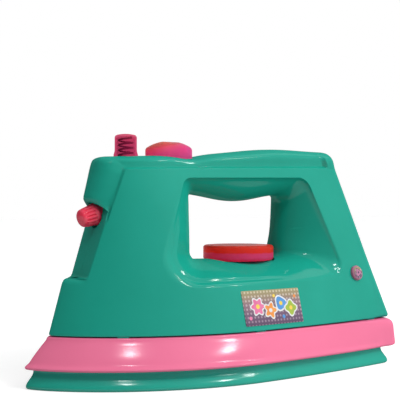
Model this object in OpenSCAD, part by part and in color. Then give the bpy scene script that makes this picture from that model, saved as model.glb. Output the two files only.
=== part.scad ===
// Toy steam iron: two moulded shell halves screwed together round a handle opening, on a flared
// skirt and a soleplate, with two sprung buttons, a turning dial and a turning nozzle.
// Millimetres. X runs from the nose (-) to the heel (+), the labelled side faces -Y, Z is up.

/* [Base] */
// length of the skirt along its lower edge
base_length = 200; // [194:1:210]
// width of the skirt along its lower edge
base_width = 95; // [92:1:100]
// height of the soleplate
sole_height = 9; // [8:0.5:11]
// height of the skirt above the soleplate
skirt_height = 14.2; // [13:0.2:17]
// wall of the skirt and the soleplate
base_wall = 2; // [1.6:0.1:2.4]

/* [Body] */
// height of the body from the skirt to the front end of its top line
body_height = 84; // [82:1:90]
// how much higher the top line ends at the heel
handle_climb = 6.4; // [4:0.2:8]
// width of the grip at its shoulder
handle_width = 34; // [33:1:37]
// wall of the two shells
shell_wall = 2; // [1.6:0.1:2.2]
// shadow gap between the shells and the skirt
joint_gap = 0.6; // [0.4:0.1:1]

/* [Handle opening] */
// length of the opening's throat
throat_length = 57; // [54:1:59]
// height of the opening's throat
throat_height = 33; // [31:1:34]

/* [Buttons] */
// diameter of the steam button
steam_d = 10.8; // [10.2:0.2:11.4]
// how far the steam button stands above the body
steam_stand = 10.8; // [9:0.2:12]
// how far the steam button goes down
steam_travel = 4; // [2.5:0.5:4.5]
// width of the spray button across its round ends
spray_width = 16.6; // [15:0.2:17]
// length of the spray button
spray_length = 24.6; // [23:0.2:25.4]
// how far the spray button's straight side stands above the body
spray_stand = 4.2; // [3.8:0.2:6]
// how much its crown rises in the middle
spray_crown = 3.5; // [2:0.1:4]
// how far the spray button goes down
spray_travel = 3; // [2:0.5:3.5]
// wall of both buttons
button_wall = 0.9; // [0.8:0.1:1.1]
// wire of both springs
wire_d = 0.8; // [0.6:0.05:0.9]
// height of one spring turn at rest
spring_pitch = 2.45; // [2.2:0.05:2.8]

/* [Dial and nozzle] */
// diameter of the temperature dial
dial_d = 37; // [34:0.5:38]
// thickness of the temperature dial
dial_thick = 8; // [7:0.2:9]
// diameter of the nozzle at its tip
nozzle_tip_d = 8.3; // [7:0.1:9]
// diameter of the nozzle's collar
nozzle_collar_d = 10.4; // [9.8:0.1:10.8]
// length of the nozzle outside its socket
nozzle_length = 9.8; // [8:0.2:11]
// downward tilt of the nozzle, in degrees
nozzle_tilt = 17; // [12:1:20]

/* [Small pieces] */
// diameter of the round cap on the side
cap_d = 7.8; // [7:0.2:9]
// length of the label on the side
label_length = 35.5; // [32:0.5:37]
// height of the label
label_height = 16.4; // [14:0.2:17]
// diameter of a screw head
screw_head_d = 4.8; // [4.2:0.1:5.2]

/* [Hidden] */
// clearance of a turning fit and of a sliding one
turn_fit = 0.05;
slide_fit = 0.3;
// how far a cutter runs past what it cuts
over = 1;
// half the flat land along a parting edge, and the share of a wall that a boss bites into
land = 0.6;
bite_share = 0.45;
// thickness of a sticker and of the glue under it
sticker_thick = 0.25;
glue = 0.06;
$fn = 48;

skirt_z = sole_height;
deck_z = skirt_z + skirt_height;
foot_z = deck_z + joint_gap;
front_z = deck_z + body_height;
hl = base_length / 2;
hw = base_width / 2;

// the body's side view
foot_nose_x = hl * -0.885;
foot_heel_x = hl * 0.99;
top_nose_x = hl * -0.652;
top_heel_x = hl * 0.757;
foot_half_w = hw * 0.86;
grip_half_w = handle_width / 2;
crown_h = body_height * 0.125;
shoulder_z = front_z - body_height * 0.075;
nose_core = base_length * 0.055;

// the top line: a dip beside the spray button and a swell over the grip
dip = body_height * 0.016;
dip_x = hl * -0.2;
dip_reach = hl * 0.1;
swell = body_height * 0.029;
swell_x = hl * 0.36;
swell_reach = hl * 0.24;

// roundness of the plan, from the foot to the shoulder
nose_reach_share = 0.475;
top_reach_share = 0.2;
foot_power_share = 0.78;
top_power_share = 0.45;
heel_round = base_length * 0.036;
heel_taper_share = 0.18;
widest_share = -0.14;

function mix(a, b, t) = a + (b - a) * t;
function part01(t) = min(max(t, 0), 1);
// 0 at an edge, 1 at a depth of span, along a rounded quarter of power n
function round_in(d, span, n) = pow(1 - pow(1 - part01(d / span), n), 1 / n);

// the body's end lines at a height and its top line at a length; inset pulls each one inwards
function up_share(z) = (z - foot_z) / (front_z - foot_z);
function nose_x(z, inset = 0) = mix(foot_nose_x, top_nose_x, up_share(z)) + inset;
function heel_x(z, inset = 0) = mix(foot_heel_x, top_heel_x, up_share(z)) - inset;
function bump(x, at, reach) = exp(-pow((x - at) / reach, 2));
function top_chord(x) = front_z + handle_climb * (x - top_nose_x) / (top_heel_x - top_nose_x);
function top_wave(x) = swell * bump(x, swell_x, swell_reach) - dip * bump(x, dip_x, dip_reach);
function top_z(x, inset = 0) = top_chord(x) + top_wave(x) - inset;

// half the body's width at a place in the side view; core is the wall, for the inner skin
function rise(z) = part01((z - foot_z) / (shoulder_z - foot_z));
function nose_fill(a, v) = pow(
    1 - pow(1 - part01(a / (base_length * mix(nose_reach_share, top_reach_share, v))), 2),
    mix(foot_power_share, top_power_share, pow(v, 3)));
function heel_slim(x) = 1 - heel_taper_share * pow(part01(x / hl - widest_share), 2);
function half_w(x, z, core = 0) =
    let (nose = x - nose_x(z, core > 0 ? nose_core : 0))
    let (heel = heel_x(z, core) - x)
    let (deep = top_z(x, core) - z)
    let (side = mix(foot_half_w, grip_half_w, rise(z)) * heel_slim(x) - core)
    max(side * nose_fill(max(nose, 0), rise(z))
        * round_in(max(heel, 0), heel_round, 3)
        * round_in(max(deep, 0), crown_h, 2.3), land);

// closed four-sided lines in the side view, from the lower front corner, with rounded corners
sides_n = [20, 9, 22, 10];
arc_n = 4;
function unit(v) = v / norm(v);
function corner(p, q, r, n) =
    let (u = unit(p[0] - q), v = unit(p[1] - q))
    let (open = acos(u * v) / 2)
    let (c = q + unit(u + v) * r / sin(open), from = q + u * r / tan(open) - c)
    let (a = atan2(from[1], from[0]), turn = 180 - open * 2)
    [for (k = [0:n]) c + r * [cos(a + turn * k / n), sin(a + turn * k / n)]];
function four_sided(q, r, sides = sides_n) =
    let (arcs = [for (k = [0:3]) corner([q[(k + 3) % 4], q[(k + 1) % 4]], q[k], r[k], arc_n)])
    [for (k = [0:3]) each concat(
        arcs[k],
        [for (s = [1:1:sides[k] - 1]) mix(arcs[k][arc_n], arcs[(k + 1) % 4][0], s / sides[k])])];
function grown(q, d) = [q[0] + [-d, -d], q[1] + [d, -d], q[2] + [d, d], q[3] + [-d, d]];

// the opening: its throat on the parting plane, and the crisp edge where its flare meets the side
throat_x = hl * 0.13;
throat_z = foot_z + body_height * 0.573;
throat_front = throat_x - throat_length / 2;
throat_rear = throat_x + throat_length / 2;
throat_low = throat_z - throat_height / 2;
throat_high = throat_z + throat_height / 2;
throat = [[throat_front + hl * 0.015, throat_low + body_height * 0.018],
    [throat_rear - hl * 0.015, throat_low + body_height * 0.006],
    [throat_rear + hl * 0.01, throat_high + body_height * 0.02],
    [throat_front - hl * 0.005, throat_high + body_height * 0.012]];
throat_r = body_height * [0.05, 0.02, 0.05, 0.03];
flare = [[throat_front - hl * 0.31, throat_low - body_height * 0.118],
    [throat_rear + hl * 0.255, throat_low - body_height * 0.1],
    [throat_rear + hl * 0.095, throat_high + body_height * 0.125],
    [throat_front - hl * 0.105, throat_high + body_height * 0.107]];
flare_r = body_height * [0.17, 0.08, 0.09, 0.07];
// the grip's belly hangs into the opening
belly = body_height * 0.03;
belly_reach = throat_length * 0.36;
function bellied(p) = [p[0], p[1] - belly * bump(p[0], throat_x, belly_reach) * (p[1] > throat_z ? 1 : 0)];
function throat_line(d) = [for (p = four_sided(grown(throat, d), throat_r + [d, d, d, d])) bellied(p)];
function flare_line(d) = four_sided(grown(flare, d), flare_r + [d, d, d, d]);

// the outer line, with its top side lifted to the waved top line
function outer_quad(inset, front) = [
    [nose_x(foot_z + inset, front), foot_z + inset],
    [heel_x(foot_z + inset, inset), foot_z + inset],
    [heel_x(top_chord(top_heel_x) - inset, inset), top_chord(top_heel_x) - inset],
    [nose_x(top_chord(top_nose_x) - inset, front), top_chord(top_nose_x) - inset]];
outer_r = body_height * [0.012, 0.012, 0.06, 0.085];
function lifted(p) = [p[0], p[1] + top_wave(p[0]) * part01((p[1] - throat_high) / crown_h)];
function outer_line(inset, front) = [for (p = four_sided(outer_quad(inset, front), outer_r)) lifted(p)];

// the raised side panel: its edge in the side view, and the step from it down to the rim round it
panel = [[hl * -0.795, foot_z + body_height * 0.019],
    [hl * 0.956, foot_z + body_height * 0.019],
    [hl * 0.732, foot_z + body_height * 0.957],
    [hl * -0.55, foot_z + body_height * 0.918]];
panel_r = body_height * [0.024, 0.024, 0.019, 0.031];
panel_drop = shell_wall * 0.35;
panel_end_x = hl * 0.74;
panel_low_z = foot_z + body_height * 0.58;
// the step runs along the top and down the upper nose, and fades out at both ends
function step_share(p) = part01((p[1] - panel_low_z) / crown_h) * part01((panel_end_x - p[0]) / crown_h);
panel_shares = [0, 0.25, 0.5, 0.72, 0.9, 1];
rim_shares = [0.08, 0.4, 0.68, 0.87, 0.965];
rim_drop_shares = [1, 0.5, 0.1, 0, 0];

// one skin of a half shell: rows of points from the throat out to the parting edge
flare_shares = [0, 0.3, 0.55, 0.8];
side_shares = [0, 0.2, 0.42, 0.62, 0.77, 0.88, 0.95, 0.985];
function at_side(p, core) = [p[0], -half_w(p[0], p[1], core), p[1]];
function flat(p) = [p[0], 0, p[1]];
function flare_point(t, e, f, core) =
    let (p = mix(t, e, f * f))
    [p[0], -max(half_w(e[0], e[1], core) * f, land), p[1]];
function lowered(p, d) = [p[0], -max(half_w(p[0], p[1]) - d, land), p[1]];
function flare_rows(t, e, core) = concat(
    [[for (p = t) flat(p)]],
    [for (f = flare_shares) [for (i = [0:len(t) - 1]) flare_point(t[i], e[i], f, core)]]);
function edge_rows(o, core) = [[for (p = o) at_side(p, core)], [for (p = o) flat(p)]];
function inner_skin(t, e, o, core) = concat(
    flare_rows(t, e, core),
    [for (s = side_shares) [for (i = [0:len(e) - 1]) at_side(mix(e[i], o[i], s), core)]],
    edge_rows(o, core));
function outer_skin(t, e, p, o) = concat(
    flare_rows(t, e, 0),
    [for (s = panel_shares) [for (i = [0:len(e) - 1]) at_side(mix(e[i], p[i], s), 0)]],
    [for (k = [0:len(rim_shares) - 1]) [for (i = [0:len(p) - 1])
        lowered(mix(p[i], o[i], rim_shares[k]), panel_drop * rim_drop_shares[k] * step_share(p[i]))]],
    edge_rows(o, 0));

// solids from rings of points: closed round both ways, or capped at both ends
function backwards(list) = [for (k = [len(list) - 1:-1:0]) list[k]];
function ring_faces(n, a, b) = [for (i = [0:n - 1]) each
    let (j = (i + 1) % n) [[a * n + i, a * n + j, b * n + j], [a * n + i, b * n + j, b * n + i]]];
module wrapped(rings) {
    n = len(rings[0]);
    m = len(rings);
    polyhedron([for (r = rings) each r], [for (k = [0:m - 1]) each ring_faces(n, k, (k + 1) % m)]);
}
module capped(rings) {
    n = len(rings[0]);
    m = len(rings);
    polyhedron(
        [for (r = rings) each r],
        concat(
            [[for (i = [n - 1:-1:0]) i]],
            [for (k = [0:m - 2]) each ring_faces(n, k, k + 1)],
            [[for (i = [0:n - 1]) (m - 1) * n + i]]));
}

// the base's plan: one ring at a height, from the nose round the +Y side to the heel and back
plan_n = 26;
base_reach = base_length * 0.5;
base_heel_round = base_length * 0.05;
nose_pull_share = 1.3;
function plan_w(x, nose, heel, w) = w
    * pow(1 - pow(1 - part01((x - nose) / base_reach), 2), foot_power_share)
    * round_in(heel - x, base_heel_round, 3) * heel_slim(x);
function plan_ring(nose, heel, w, z) =
    let (x = [for (k = [0:plan_n]) mix(nose, heel, (1 - cos(180 * k / plan_n)) / 2)])
    concat(
        [for (k = [0:plan_n]) [x[k], plan_w(x[k], nose, heel, w), z]],
        [for (k = [plan_n - 1:-1:1]) [x[k], -plan_w(x[k], nose, heel, w), z]]);
function inset_ring(nose, heel, w, d, z) = plan_ring(nose + d * nose_pull_share, heel - d, w - d, z);

// skirt: its lower lip, its top edge, its seat for the soleplate and the hole in its deck
lip_h = skirt_height * 0.085;
top_edge_nose = hl * -0.895;
top_edge_heel = hl * 0.99;
top_edge_w = hw * 0.873;
seat_w = base_wall * 2.2;
// soleplate: its lower edge and the waist under the skirt
sole_nose = hl * -0.995;
sole_heel = hl * 0.965;
sole_w = hw * 0.97;
waist = base_wall * 1.1;

// sprung buttons in pockets under the top line
steam_x = hl * -0.485;
spray_x = hl * -0.243;
flange_h = button_wall * 1.6;
flange_out = button_wall * 1.1;
pocket_wall = shell_wall * 0.6;
roof = shell_wall * 2.1;
steam_foot_r = steam_d / 2 + button_wall * 0.6;
steam_top = top_z(steam_x) + steam_stand;
steam_roof = top_z(steam_x) - roof;
steam_floor = steam_roof - flange_h - steam_travel - shell_wall * 2;
steam_pocket_r = steam_foot_r + flange_out + slide_fit;
spray_side_top = top_z(spray_x) + spray_stand;
spray_roof = top_z(spray_x) - roof;
spray_floor = spray_roof - flange_h - spray_travel - shell_wall;
spray_under = spray_side_top - button_wall;
steam_under = steam_top - button_wall * 1.4;
steam_spring_r = steam_d * 0.32;
spray_spring_r = spray_width * 0.24;

// dial on its pad over the throat's floor
dial_x = hl * 0.18;
pad_z = throat_low;
pad_r = dial_d * 0.25;
pad_h = shell_wall * 3;
stem_r = dial_d * 0.11;
clip_h = shell_wall * 0.6;
dial_z = pad_z + turn_fit;

// notch in the nose: a flat wall that leans back over a ledge, under an arch; with the nozzle's socket
ledge_z = foot_z + body_height * 0.31;
arch_r = body_height * 0.131;
arch_z = foot_z + body_height * 0.638;
brow_z = arch_z + arch_r;
notch_low_x = hl * -0.732;
notch_high_x = hl * -0.607;
notch_r = body_height * 0.035;
nozzle_x = hl * -0.643;
nozzle_z = foot_z + body_height * 0.669;
socket_r = nozzle_collar_d / 2 + shell_wall * 0.5;
socket_h = shell_wall * 2.6;
nozzle_shank_r = nozzle_collar_d * 0.42;
nozzle_ribs = 14;
flute_lean = 8;

// side pieces and screws, at shares of half the length and of the body's height
cap_at = [hl * 0.745, foot_z + body_height * 0.288];
cap_stem_r = cap_d * 0.28;
cap_h = cap_d * 0.2;
label_at = [hl * 0.13, foot_z + body_height * 0.128];
boss_shares = [[-0.41, 0.775], [-0.66, 0.11], [0.575, 0.885], [0.83, 0.125]];
boss_at = [for (s = boss_shares) [hl * s[0], foot_z + body_height * s[1]]];
boss_r = screw_head_d / 2 + shell_wall * 0.8;
screw_r = screw_head_d * 0.26;
head_h = screw_head_d * 0.35;
head_seat = screw_head_d * 1.2;
thread_end = screw_head_d * 1.8;
bore_r = screw_head_d / 2 + slide_fit;
tab_shares = [-0.61, 0.04, 0.81];
tab_w = base_wall * 2.8;
tab_t = base_wall * 0.9;
tab_in = base_wall * 0.55;
tab_drop = base_wall * 0.45;
peg_h = base_wall * 1.8;
sole_boss_h = base_wall * 2;
sole_screw_at = [[hl * -0.62, 0], [hl * 0.62, hw * 0.56], [hl * 0.62, hw * -0.56]];

// the bare half shell on the -Y side
module half_shell() {
    wrapped(concat(
        outer_skin(throat_line(0), flare_line(0), four_sided(panel, panel_r), outer_line(0, 0)),
        backwards(inner_skin(throat_line(shell_wall), flare_line(shell_wall),
            outer_line(shell_wall, nose_core), shell_wall))));
}

// a flat shape in the side view, taken right through the body
module side_cut(points) {
    rotate([90, 0, 0]) linear_extrude(base_width, center = true) polygon(points);
}
module stadium(length, width) {
    square([length - width, width], center = true);
    for (s = [-1, 1]) translate([s * (length - width) / 2, 0]) circle(d = width);
}
module spray_block(grow, low, high) {
    translate([spray_x, 0, low]) linear_extrude(high - low)
        stadium(spray_length + grow * 2, spray_width + grow * 2);
}
module steam_block(r, low, high) {
    translate([steam_x, 0, low]) cylinder(r = r, h = high - low);
}
// places children on the nozzle's axis, z outwards
module on_nozzle() {
    translate([nozzle_x, 0, nozzle_z]) rotate([0, -90 - nozzle_tilt, 0]) children();
}
// a round bar across the body from the parting plane to a depth on the -Y side
module cross_bar(at, r, from, to) {
    translate([at[0], -from, at[1]]) rotate([90, 0, 0]) cylinder(r = r, h = to - from);
}
function boss_depth(at) = min([for (s = [-1, 1]) half_w(at[0] + boss_r * s, at[1] + boss_r)])
    - shell_wall * bite_share;
function tab_y(x) = half_w(x, foot_z) - tab_in;
function tab_turn(x) = atan(slope_x([x, foot_z]));

// what both shells have inside, on the -Y side
module half_fittings() {
    for (at = boss_at) cross_bar(at, boss_r, 0, boss_depth(at));
    intersection() {
        translate([-hl, -hw, 0]) cube([base_length, hw, front_z + body_height]);
        union() {
            steam_block(steam_pocket_r + pocket_wall, steam_floor - shell_wall, steam_roof + shell_wall);
            spray_block(flange_out + slide_fit + pocket_wall, spray_floor - shell_wall,
                spray_roof + shell_wall * 0.7);
            translate([dial_x, 0, pad_z - pad_h]) cylinder(r = pad_r, h = pad_h);
            on_nozzle() translate([0, 0, -socket_h]) cylinder(r = socket_r, h = socket_h);
        }
    }
    for (s = tab_shares) translate([hl * s, -tab_y(hl * s), 0]) rotate([0, 0, -tab_turn(hl * s)]) {
        translate([-tab_w / 2, -tab_t / 2, deck_z - tab_drop])
            cube([tab_w, tab_t, tab_drop + joint_gap + shell_wall / 2]);
        translate([-tab_w / 4, -tab_t / 2, deck_z - peg_h]) cube([tab_w / 2, tab_t, peg_h + joint_gap]);
    }
}
// what is cut from both shells
module shell_cuts() {
    lip_x = nose_x(ledge_z - notch_r) + notch_r - slide_fit;
    lip = [for (k = [0:arc_n]) [lip_x, ledge_z - notch_r]
        + notch_r * [-cos(90 * k / arc_n), sin(90 * k / arc_n)]];
    difference() {
        intersection() {
            side_cut(concat(
                [[-hl - over, ledge_z - notch_r]], lip,
                [[notch_low_x, ledge_z], [notch_high_x, brow_z], [-hl - over, brow_z]]));
            union() {
                translate([-base_length, 0, arch_z]) rotate([0, 90, 0])
                    cylinder(r = arch_r, h = base_length);
                translate([-base_length, -hw, 0]) cube([base_length, base_width, arch_z]);
            }
        }
        on_nozzle() translate([0, 0, -socket_h]) cylinder(r = socket_r, h = socket_h);
    }
    on_nozzle() {
        cylinder(r = socket_r, h = nozzle_length * 2);
        translate([0, 0, -socket_h - flange_h - slide_fit])
            cylinder(r = socket_r + slide_fit, h = flange_h + slide_fit);
    }
    on_nozzle() translate([0, 0, -socket_h - over])
        cylinder(r = nozzle_shank_r + turn_fit, h = socket_h + over * 2);
    steam_block(steam_pocket_r, steam_floor, steam_roof);
    steam_block(steam_foot_r + slide_fit, steam_floor, front_z + body_height);
    spray_block(flange_out + slide_fit, spray_floor, spray_roof);
    spray_block(slide_fit, spray_floor, front_z + body_height);
    translate([dial_x, 0, pad_z - pad_h - over]) cylinder(r = stem_r + turn_fit, h = pad_h + over * 2);
    translate([dial_x, 0, pad_z - slide_fit]) difference() {
        cylinder(r = dial_d / 2 + slide_fit * 2, h = dial_thick);
        cylinder(r = pad_r, h = slide_fit);
    }
}
module half_body() {
    difference() {
        union() {
            half_shell();
            half_fittings();
        }
        shell_cuts();
    }
}

// the outward normal of the side at a place, and children set on it with z outwards
step = body_height * 0.01;
function slope_x(p) = (half_w(p[0] + step, p[1]) - half_w(p[0] - step, p[1])) / (step * 2);
function slope_z(p) = (half_w(p[0], p[1] + step) - half_w(p[0], p[1] - step)) / (step * 2);
module on_side(p) {
    n = unit([-slope_x(p), -1, -slope_z(p)]);
    translate([p[0], -half_w(p[0], p[1]), p[1]]) rotate([0, acos(n[2]), atan2(n[1], n[0])]) children();
}

module left_shell() {
    color("MediumSeaGreen") difference() {
        half_body();
        for (at = boss_at) cross_bar(at, screw_r + turn_fit, -over, thread_end);
        on_side(cap_at) translate([0, 0, -shell_wall * 3])
            cylinder(r = cap_stem_r + turn_fit, h = shell_wall * 4);
    }
}

module right_shell() {
    color("MediumSeaGreen") mirror([0, 1, 0]) difference() {
        half_body();
        for (at = boss_at) {
            cross_bar(at, screw_r + turn_fit, -over, head_seat + over);
            cross_bar(at, bore_r, head_seat, hw);
        }
    }
}

module skirt() {
    low = skirt_z;
    color("HotPink") difference() {
        union() {
            wrapped([
                inset_ring(-hl, hl, hw, lip_h * 0.7, low),
                plan_ring(-hl, hl, hw, low + lip_h),
                inset_ring(-hl, hl, hw, lip_h * 0.45, low + lip_h * 2.2),
                plan_ring(mix(-hl, top_edge_nose, 0.5), hl, mix(hw, top_edge_w, 0.5), mix(low, deck_z, 0.52)),
                inset_ring(top_edge_nose, top_edge_heel, top_edge_w, lip_h * -0.15, deck_z - lip_h),
                inset_ring(top_edge_nose, top_edge_heel, top_edge_w, lip_h * 0.3, deck_z),
                plan_ring(top_edge_nose / 2, top_edge_heel / 2, top_edge_w / 2, deck_z),
                plan_ring(top_edge_nose / 2, top_edge_heel / 2, top_edge_w / 2, deck_z - base_wall),
                inset_ring(top_edge_nose, top_edge_heel, top_edge_w, seat_w, deck_z - base_wall),
                inset_ring(top_edge_nose, top_edge_heel, top_edge_w, seat_w, low)]);
            for (p = sole_screw_at) translate([p[0], p[1], sole_boss_h])
                cylinder(r = boss_r, h = deck_z - base_wall / 2 - sole_boss_h);
        }
        for (p = sole_screw_at) translate([p[0], p[1], 0])
            cylinder(r = screw_r + turn_fit, h = deck_z - base_wall);
        for (s = tab_shares, side = [-1, 1]) translate([hl * s, side * tab_y(hl * s), deck_z])
            rotate([0, 0, side * tab_turn(hl * s)]) {
                cube([tab_w / 2 + slide_fit * 2, tab_t + slide_fit * 2, base_wall * 4], center = true);
                translate([0, side * base_wall, 0]) cube([tab_w + slide_fit * 2,
                    tab_t + (base_wall + slide_fit) * 2, (tab_drop + slide_fit) * 2], center = true);
            }
    }
}

module soleplate() {
    color("MediumSeaGreen") difference() {
        union() {
            capped([
                inset_ring(sole_nose, sole_heel, sole_w, waist * 0.5, 0),
                plan_ring(sole_nose, sole_heel, sole_w, sole_height * 0.14),
                inset_ring(sole_nose, sole_heel, sole_w, waist * 0.15, sole_height * 0.3),
                inset_ring(sole_nose, sole_heel, sole_w, waist * 0.75, sole_height * 0.62),
                inset_ring(sole_nose, sole_heel, sole_w, waist, sole_height * 0.84),
                inset_ring(sole_nose, sole_heel, sole_w, waist, sole_height),
                inset_ring(sole_nose, sole_heel, sole_w, waist + base_wall * 1.4, sole_height),
                inset_ring(sole_nose, sole_heel, sole_w, waist + base_wall * 1.4, base_wall)]);
            for (p = sole_screw_at) translate([p[0], p[1], base_wall / 2])
                cylinder(r = boss_r, h = sole_boss_h - base_wall / 2);
        }
        for (p = sole_screw_at) translate([p[0], p[1], 0]) {
            translate([0, 0, -over]) cylinder(r = screw_r + turn_fit, h = sole_boss_h + over * 2);
            translate([0, 0, -over]) cylinder(r = bore_r, h = head_h * 1.3 + over);
        }
    }
}

module spray_nozzle() {
    tip = nozzle_tip_d / 2;
    collar = nozzle_collar_d / 2;
    collar_h = nozzle_length * 0.32;
    color("Crimson") on_nozzle() {
        rotate_extrude() polygon([
            [0, -socket_h - flange_h - turn_fit], [socket_r, -socket_h - flange_h - turn_fit],
            [socket_r, -socket_h - turn_fit], [nozzle_shank_r, -socket_h - turn_fit],
            [nozzle_shank_r, turn_fit], [collar - flange_h / 3, turn_fit],
            [collar - flange_h / 3, collar_h], [mix(tip, collar, 0.7), collar_h + flange_h / 3],
            [tip, nozzle_length - flange_h], [tip - flange_h / 3, nozzle_length - flange_h / 3],
            [tip - flange_h, nozzle_length], [0, nozzle_length]]);
        for (k = [0:nozzle_ribs - 1]) rotate([0, 0, 360 * k / nozzle_ribs]) {
            translate([collar - flange_h / 2, 0, turn_fit])
                cylinder(r = flange_h / 2, h = collar_h - flange_h / 4);
            translate([mix(tip, collar, 0.7) - flange_h / 5, 0, collar_h])
                rotate([0, -flute_lean, 0]) cylinder(r = flange_h / 3, h = nozzle_length * 0.42);
        }
    }
}

module steam_button() {
    r = steam_d / 2;
    inner = r - button_wall;
    edge = button_wall * 1.6;
    crest = top_z(steam_x);
    low = steam_roof - turn_fit;
    arc = [for (k = [0:4]) [r - edge, steam_top - edge * 1.3] + edge * [cos(22.5 * k), sin(22.5 * k)]];
    color("DeepPink") translate([steam_x, 0, 0]) rotate_extrude() polygon(concat(
        [[steam_foot_r + flange_out, low - flange_h], [steam_foot_r + flange_out, low],
            [steam_foot_r, low], [steam_foot_r, crest + edge / 2], [r, crest + edge * 1.5]],
        arc,
        [[0, steam_top], [0, steam_under], [inner - edge / 2, steam_under], [inner, steam_under - edge / 2],
            [inner, low - flange_h]]));
}

module spray_button() {
    high = spray_side_top;
    ball_r = (pow(spray_length / 2, 2) + pow(spray_crown, 2)) / (spray_crown * 2);
    low = spray_roof - flange_h - turn_fit;
    color("DeepPink") difference() {
        union() {
            intersection() {
                spray_block(0, low, high + spray_crown);
                translate([spray_x, 0, high + spray_crown - ball_r]) sphere(r = ball_r);
            }
            spray_block(flange_out, low, spray_roof - turn_fit);
        }
        spray_block(-button_wall, low - over, spray_under);
    }
}

// a coil of wire from a floor to a roof, its ends standing straight on both
turn_n = 8;
wire_n = 6;
function coil_turns(low, high) = (high - low - wire_d * 2) / spring_pitch;
function coil_path(r, low, high) =
    let (turns = coil_turns(low, high), n = ceil(turns * turn_n))
    concat(
        [[r, 0, low]],
        [for (k = [0:n]) [r * cos(360 * turns * k / n), r * sin(360 * turns * k / n),
            mix(low + wire_d, high - wire_d, k / n)]],
        [[r * cos(360 * turns), r * sin(360 * turns), high]]);
function heading(path, k) =
    k == 0 || k == len(path) - 1 ? [0, 0, 1]
        : unit(unit(path[k + 1] - path[k]) + unit(path[k] - path[k - 1]));
function wire_ring(path, k) =
    let (t = heading(path, k), out = unit([path[k][0], path[k][1], 0]))
    let (side = unit(cross(out, t)), away = cross(t, side))
    [for (s = [0:wire_n - 1]) let (a = 360 * s / wire_n)
        path[k] + (away * cos(a) + side * sin(a)) * wire_d / 2];
function coil_gap(path) = min([for (i = [0:len(path) - 1], j = [i + turn_n - 2:1:len(path) - 1])
    norm(path[i] - path[j])]) - wire_d;
module coil(x, r, low, high, name) {
    path = coil_path(r, low, high);
    echo(str(name, ": least gap between its turns ", coil_gap(path), " mm"));
    color("DimGray") translate([x, 0, 0]) capped([for (k = [0:len(path) - 1]) wire_ring(path, k)]);
}
module steam_spring() { coil(steam_x, steam_spring_r, steam_floor, steam_under, "steam_spring"); }
module spray_spring() { coil(spray_x, spray_spring_r, spray_floor, spray_under, "spray_spring"); }

module temperature_dial() {
    r = dial_d / 2;
    edge = dial_thick * 0.22;
    high = dial_z + dial_thick;
    low_arc = [for (k = [0:4]) [r - edge + edge * sin(22.5 * k), dial_z + edge - edge * cos(22.5 * k)]];
    high_arc = [for (k = [0:4]) [r - edge + edge * cos(22.5 * k), high - edge + edge * sin(22.5 * k)]];
    color("OrangeRed") translate([dial_x, 0, 0]) rotate_extrude() polygon(concat(
        [[0, pad_z - pad_h - clip_h * 2], [stem_r, pad_z - pad_h - clip_h * 2], [stem_r, dial_z]],
        low_arc, high_arc, [[0, high]]));
}

module dial_clip() {
    color("Silver") translate([dial_x, 0, pad_z - pad_h - clip_h - turn_fit]) difference() {
        cylinder(r = stem_r + shell_wall, h = clip_h);
        translate([0, 0, -over]) cylinder(r = stem_r, h = clip_h + over * 2);
    }
}

module side_cap() {
    r = cap_d / 2;
    edge = cap_h * 0.4;
    arc = [for (k = [0:4]) [r - edge + edge * cos(22.5 * k), cap_h - edge + edge * sin(22.5 * k)]];
    color("DeepPink") on_side(cap_at) rotate_extrude() polygon(concat(
        [[0, -shell_wall * 2], [cap_stem_r, -shell_wall * 2], [cap_stem_r, glue], [r, glue]],
        arc, [[0, cap_h]]));
}

module side_cap_sticker() {
    color("Plum") on_side(cap_at) translate([0, 0, cap_h]) cylinder(r = cap_d * 0.4, h = sticker_thick);
}

// a thin plate that follows the side
label_n = 12;
module label_sticker() {
    low = label_at[1] - label_height / 2;
    high = label_at[1] + label_height / 2;
    color("Plum") capped([for (k = [0:label_n])
        let (x = label_at[0] + label_length * (k / label_n - 1 / 2))
        [for (p = [[low, 0], [low, 1], [high, 1], [high, 0]])
            [x, -half_w(x, p[0]) - glue - sticker_thick * p[1], p[0]]]]);
}

// a round-headed screw along z, its head's seat at 0 and its tip below
module screw(length) {
    r = screw_head_d / 2;
    dome = [for (k = [0:4]) [r * cos(22.5 * k), head_h * (1 + sin(22.5 * k)) / 2]];
    difference() {
        rotate_extrude() polygon(concat(
            [[0, -length], [screw_r * 0.3, -length], [screw_r, screw_r - length], [screw_r, 0], [r, 0]],
            dome));
        for (turn = [0, 90]) rotate([0, 0, turn]) translate([0, 0, head_h])
            cube([r * 1.2, r * 0.24, head_h], center = true);
    }
}
module shell_screws() {
    color("Silver") for (at = boss_at) translate([at[0], head_seat, at[1]])
        rotate([-90, 0, 0]) screw(head_seat + thread_end * 0.9);
}
module sole_screws() {
    color("Silver") for (p = sole_screw_at) translate([p[0], p[1], head_h * 1.3])
        rotate([180, 0, 0]) screw(deck_z - base_wall * 2 - head_h * 1.3);
}

left_shell();
right_shell();
skirt();
soleplate();
spray_nozzle();
steam_button();
steam_spring();
spray_button();
spray_spring();
temperature_dial();
dial_clip();
side_cap();
side_cap_sticker();
label_sticker();
shell_screws();
sole_screws();
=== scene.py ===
import math

import bpy
import numpy as np
from mathutils import Matrix, Vector

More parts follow.
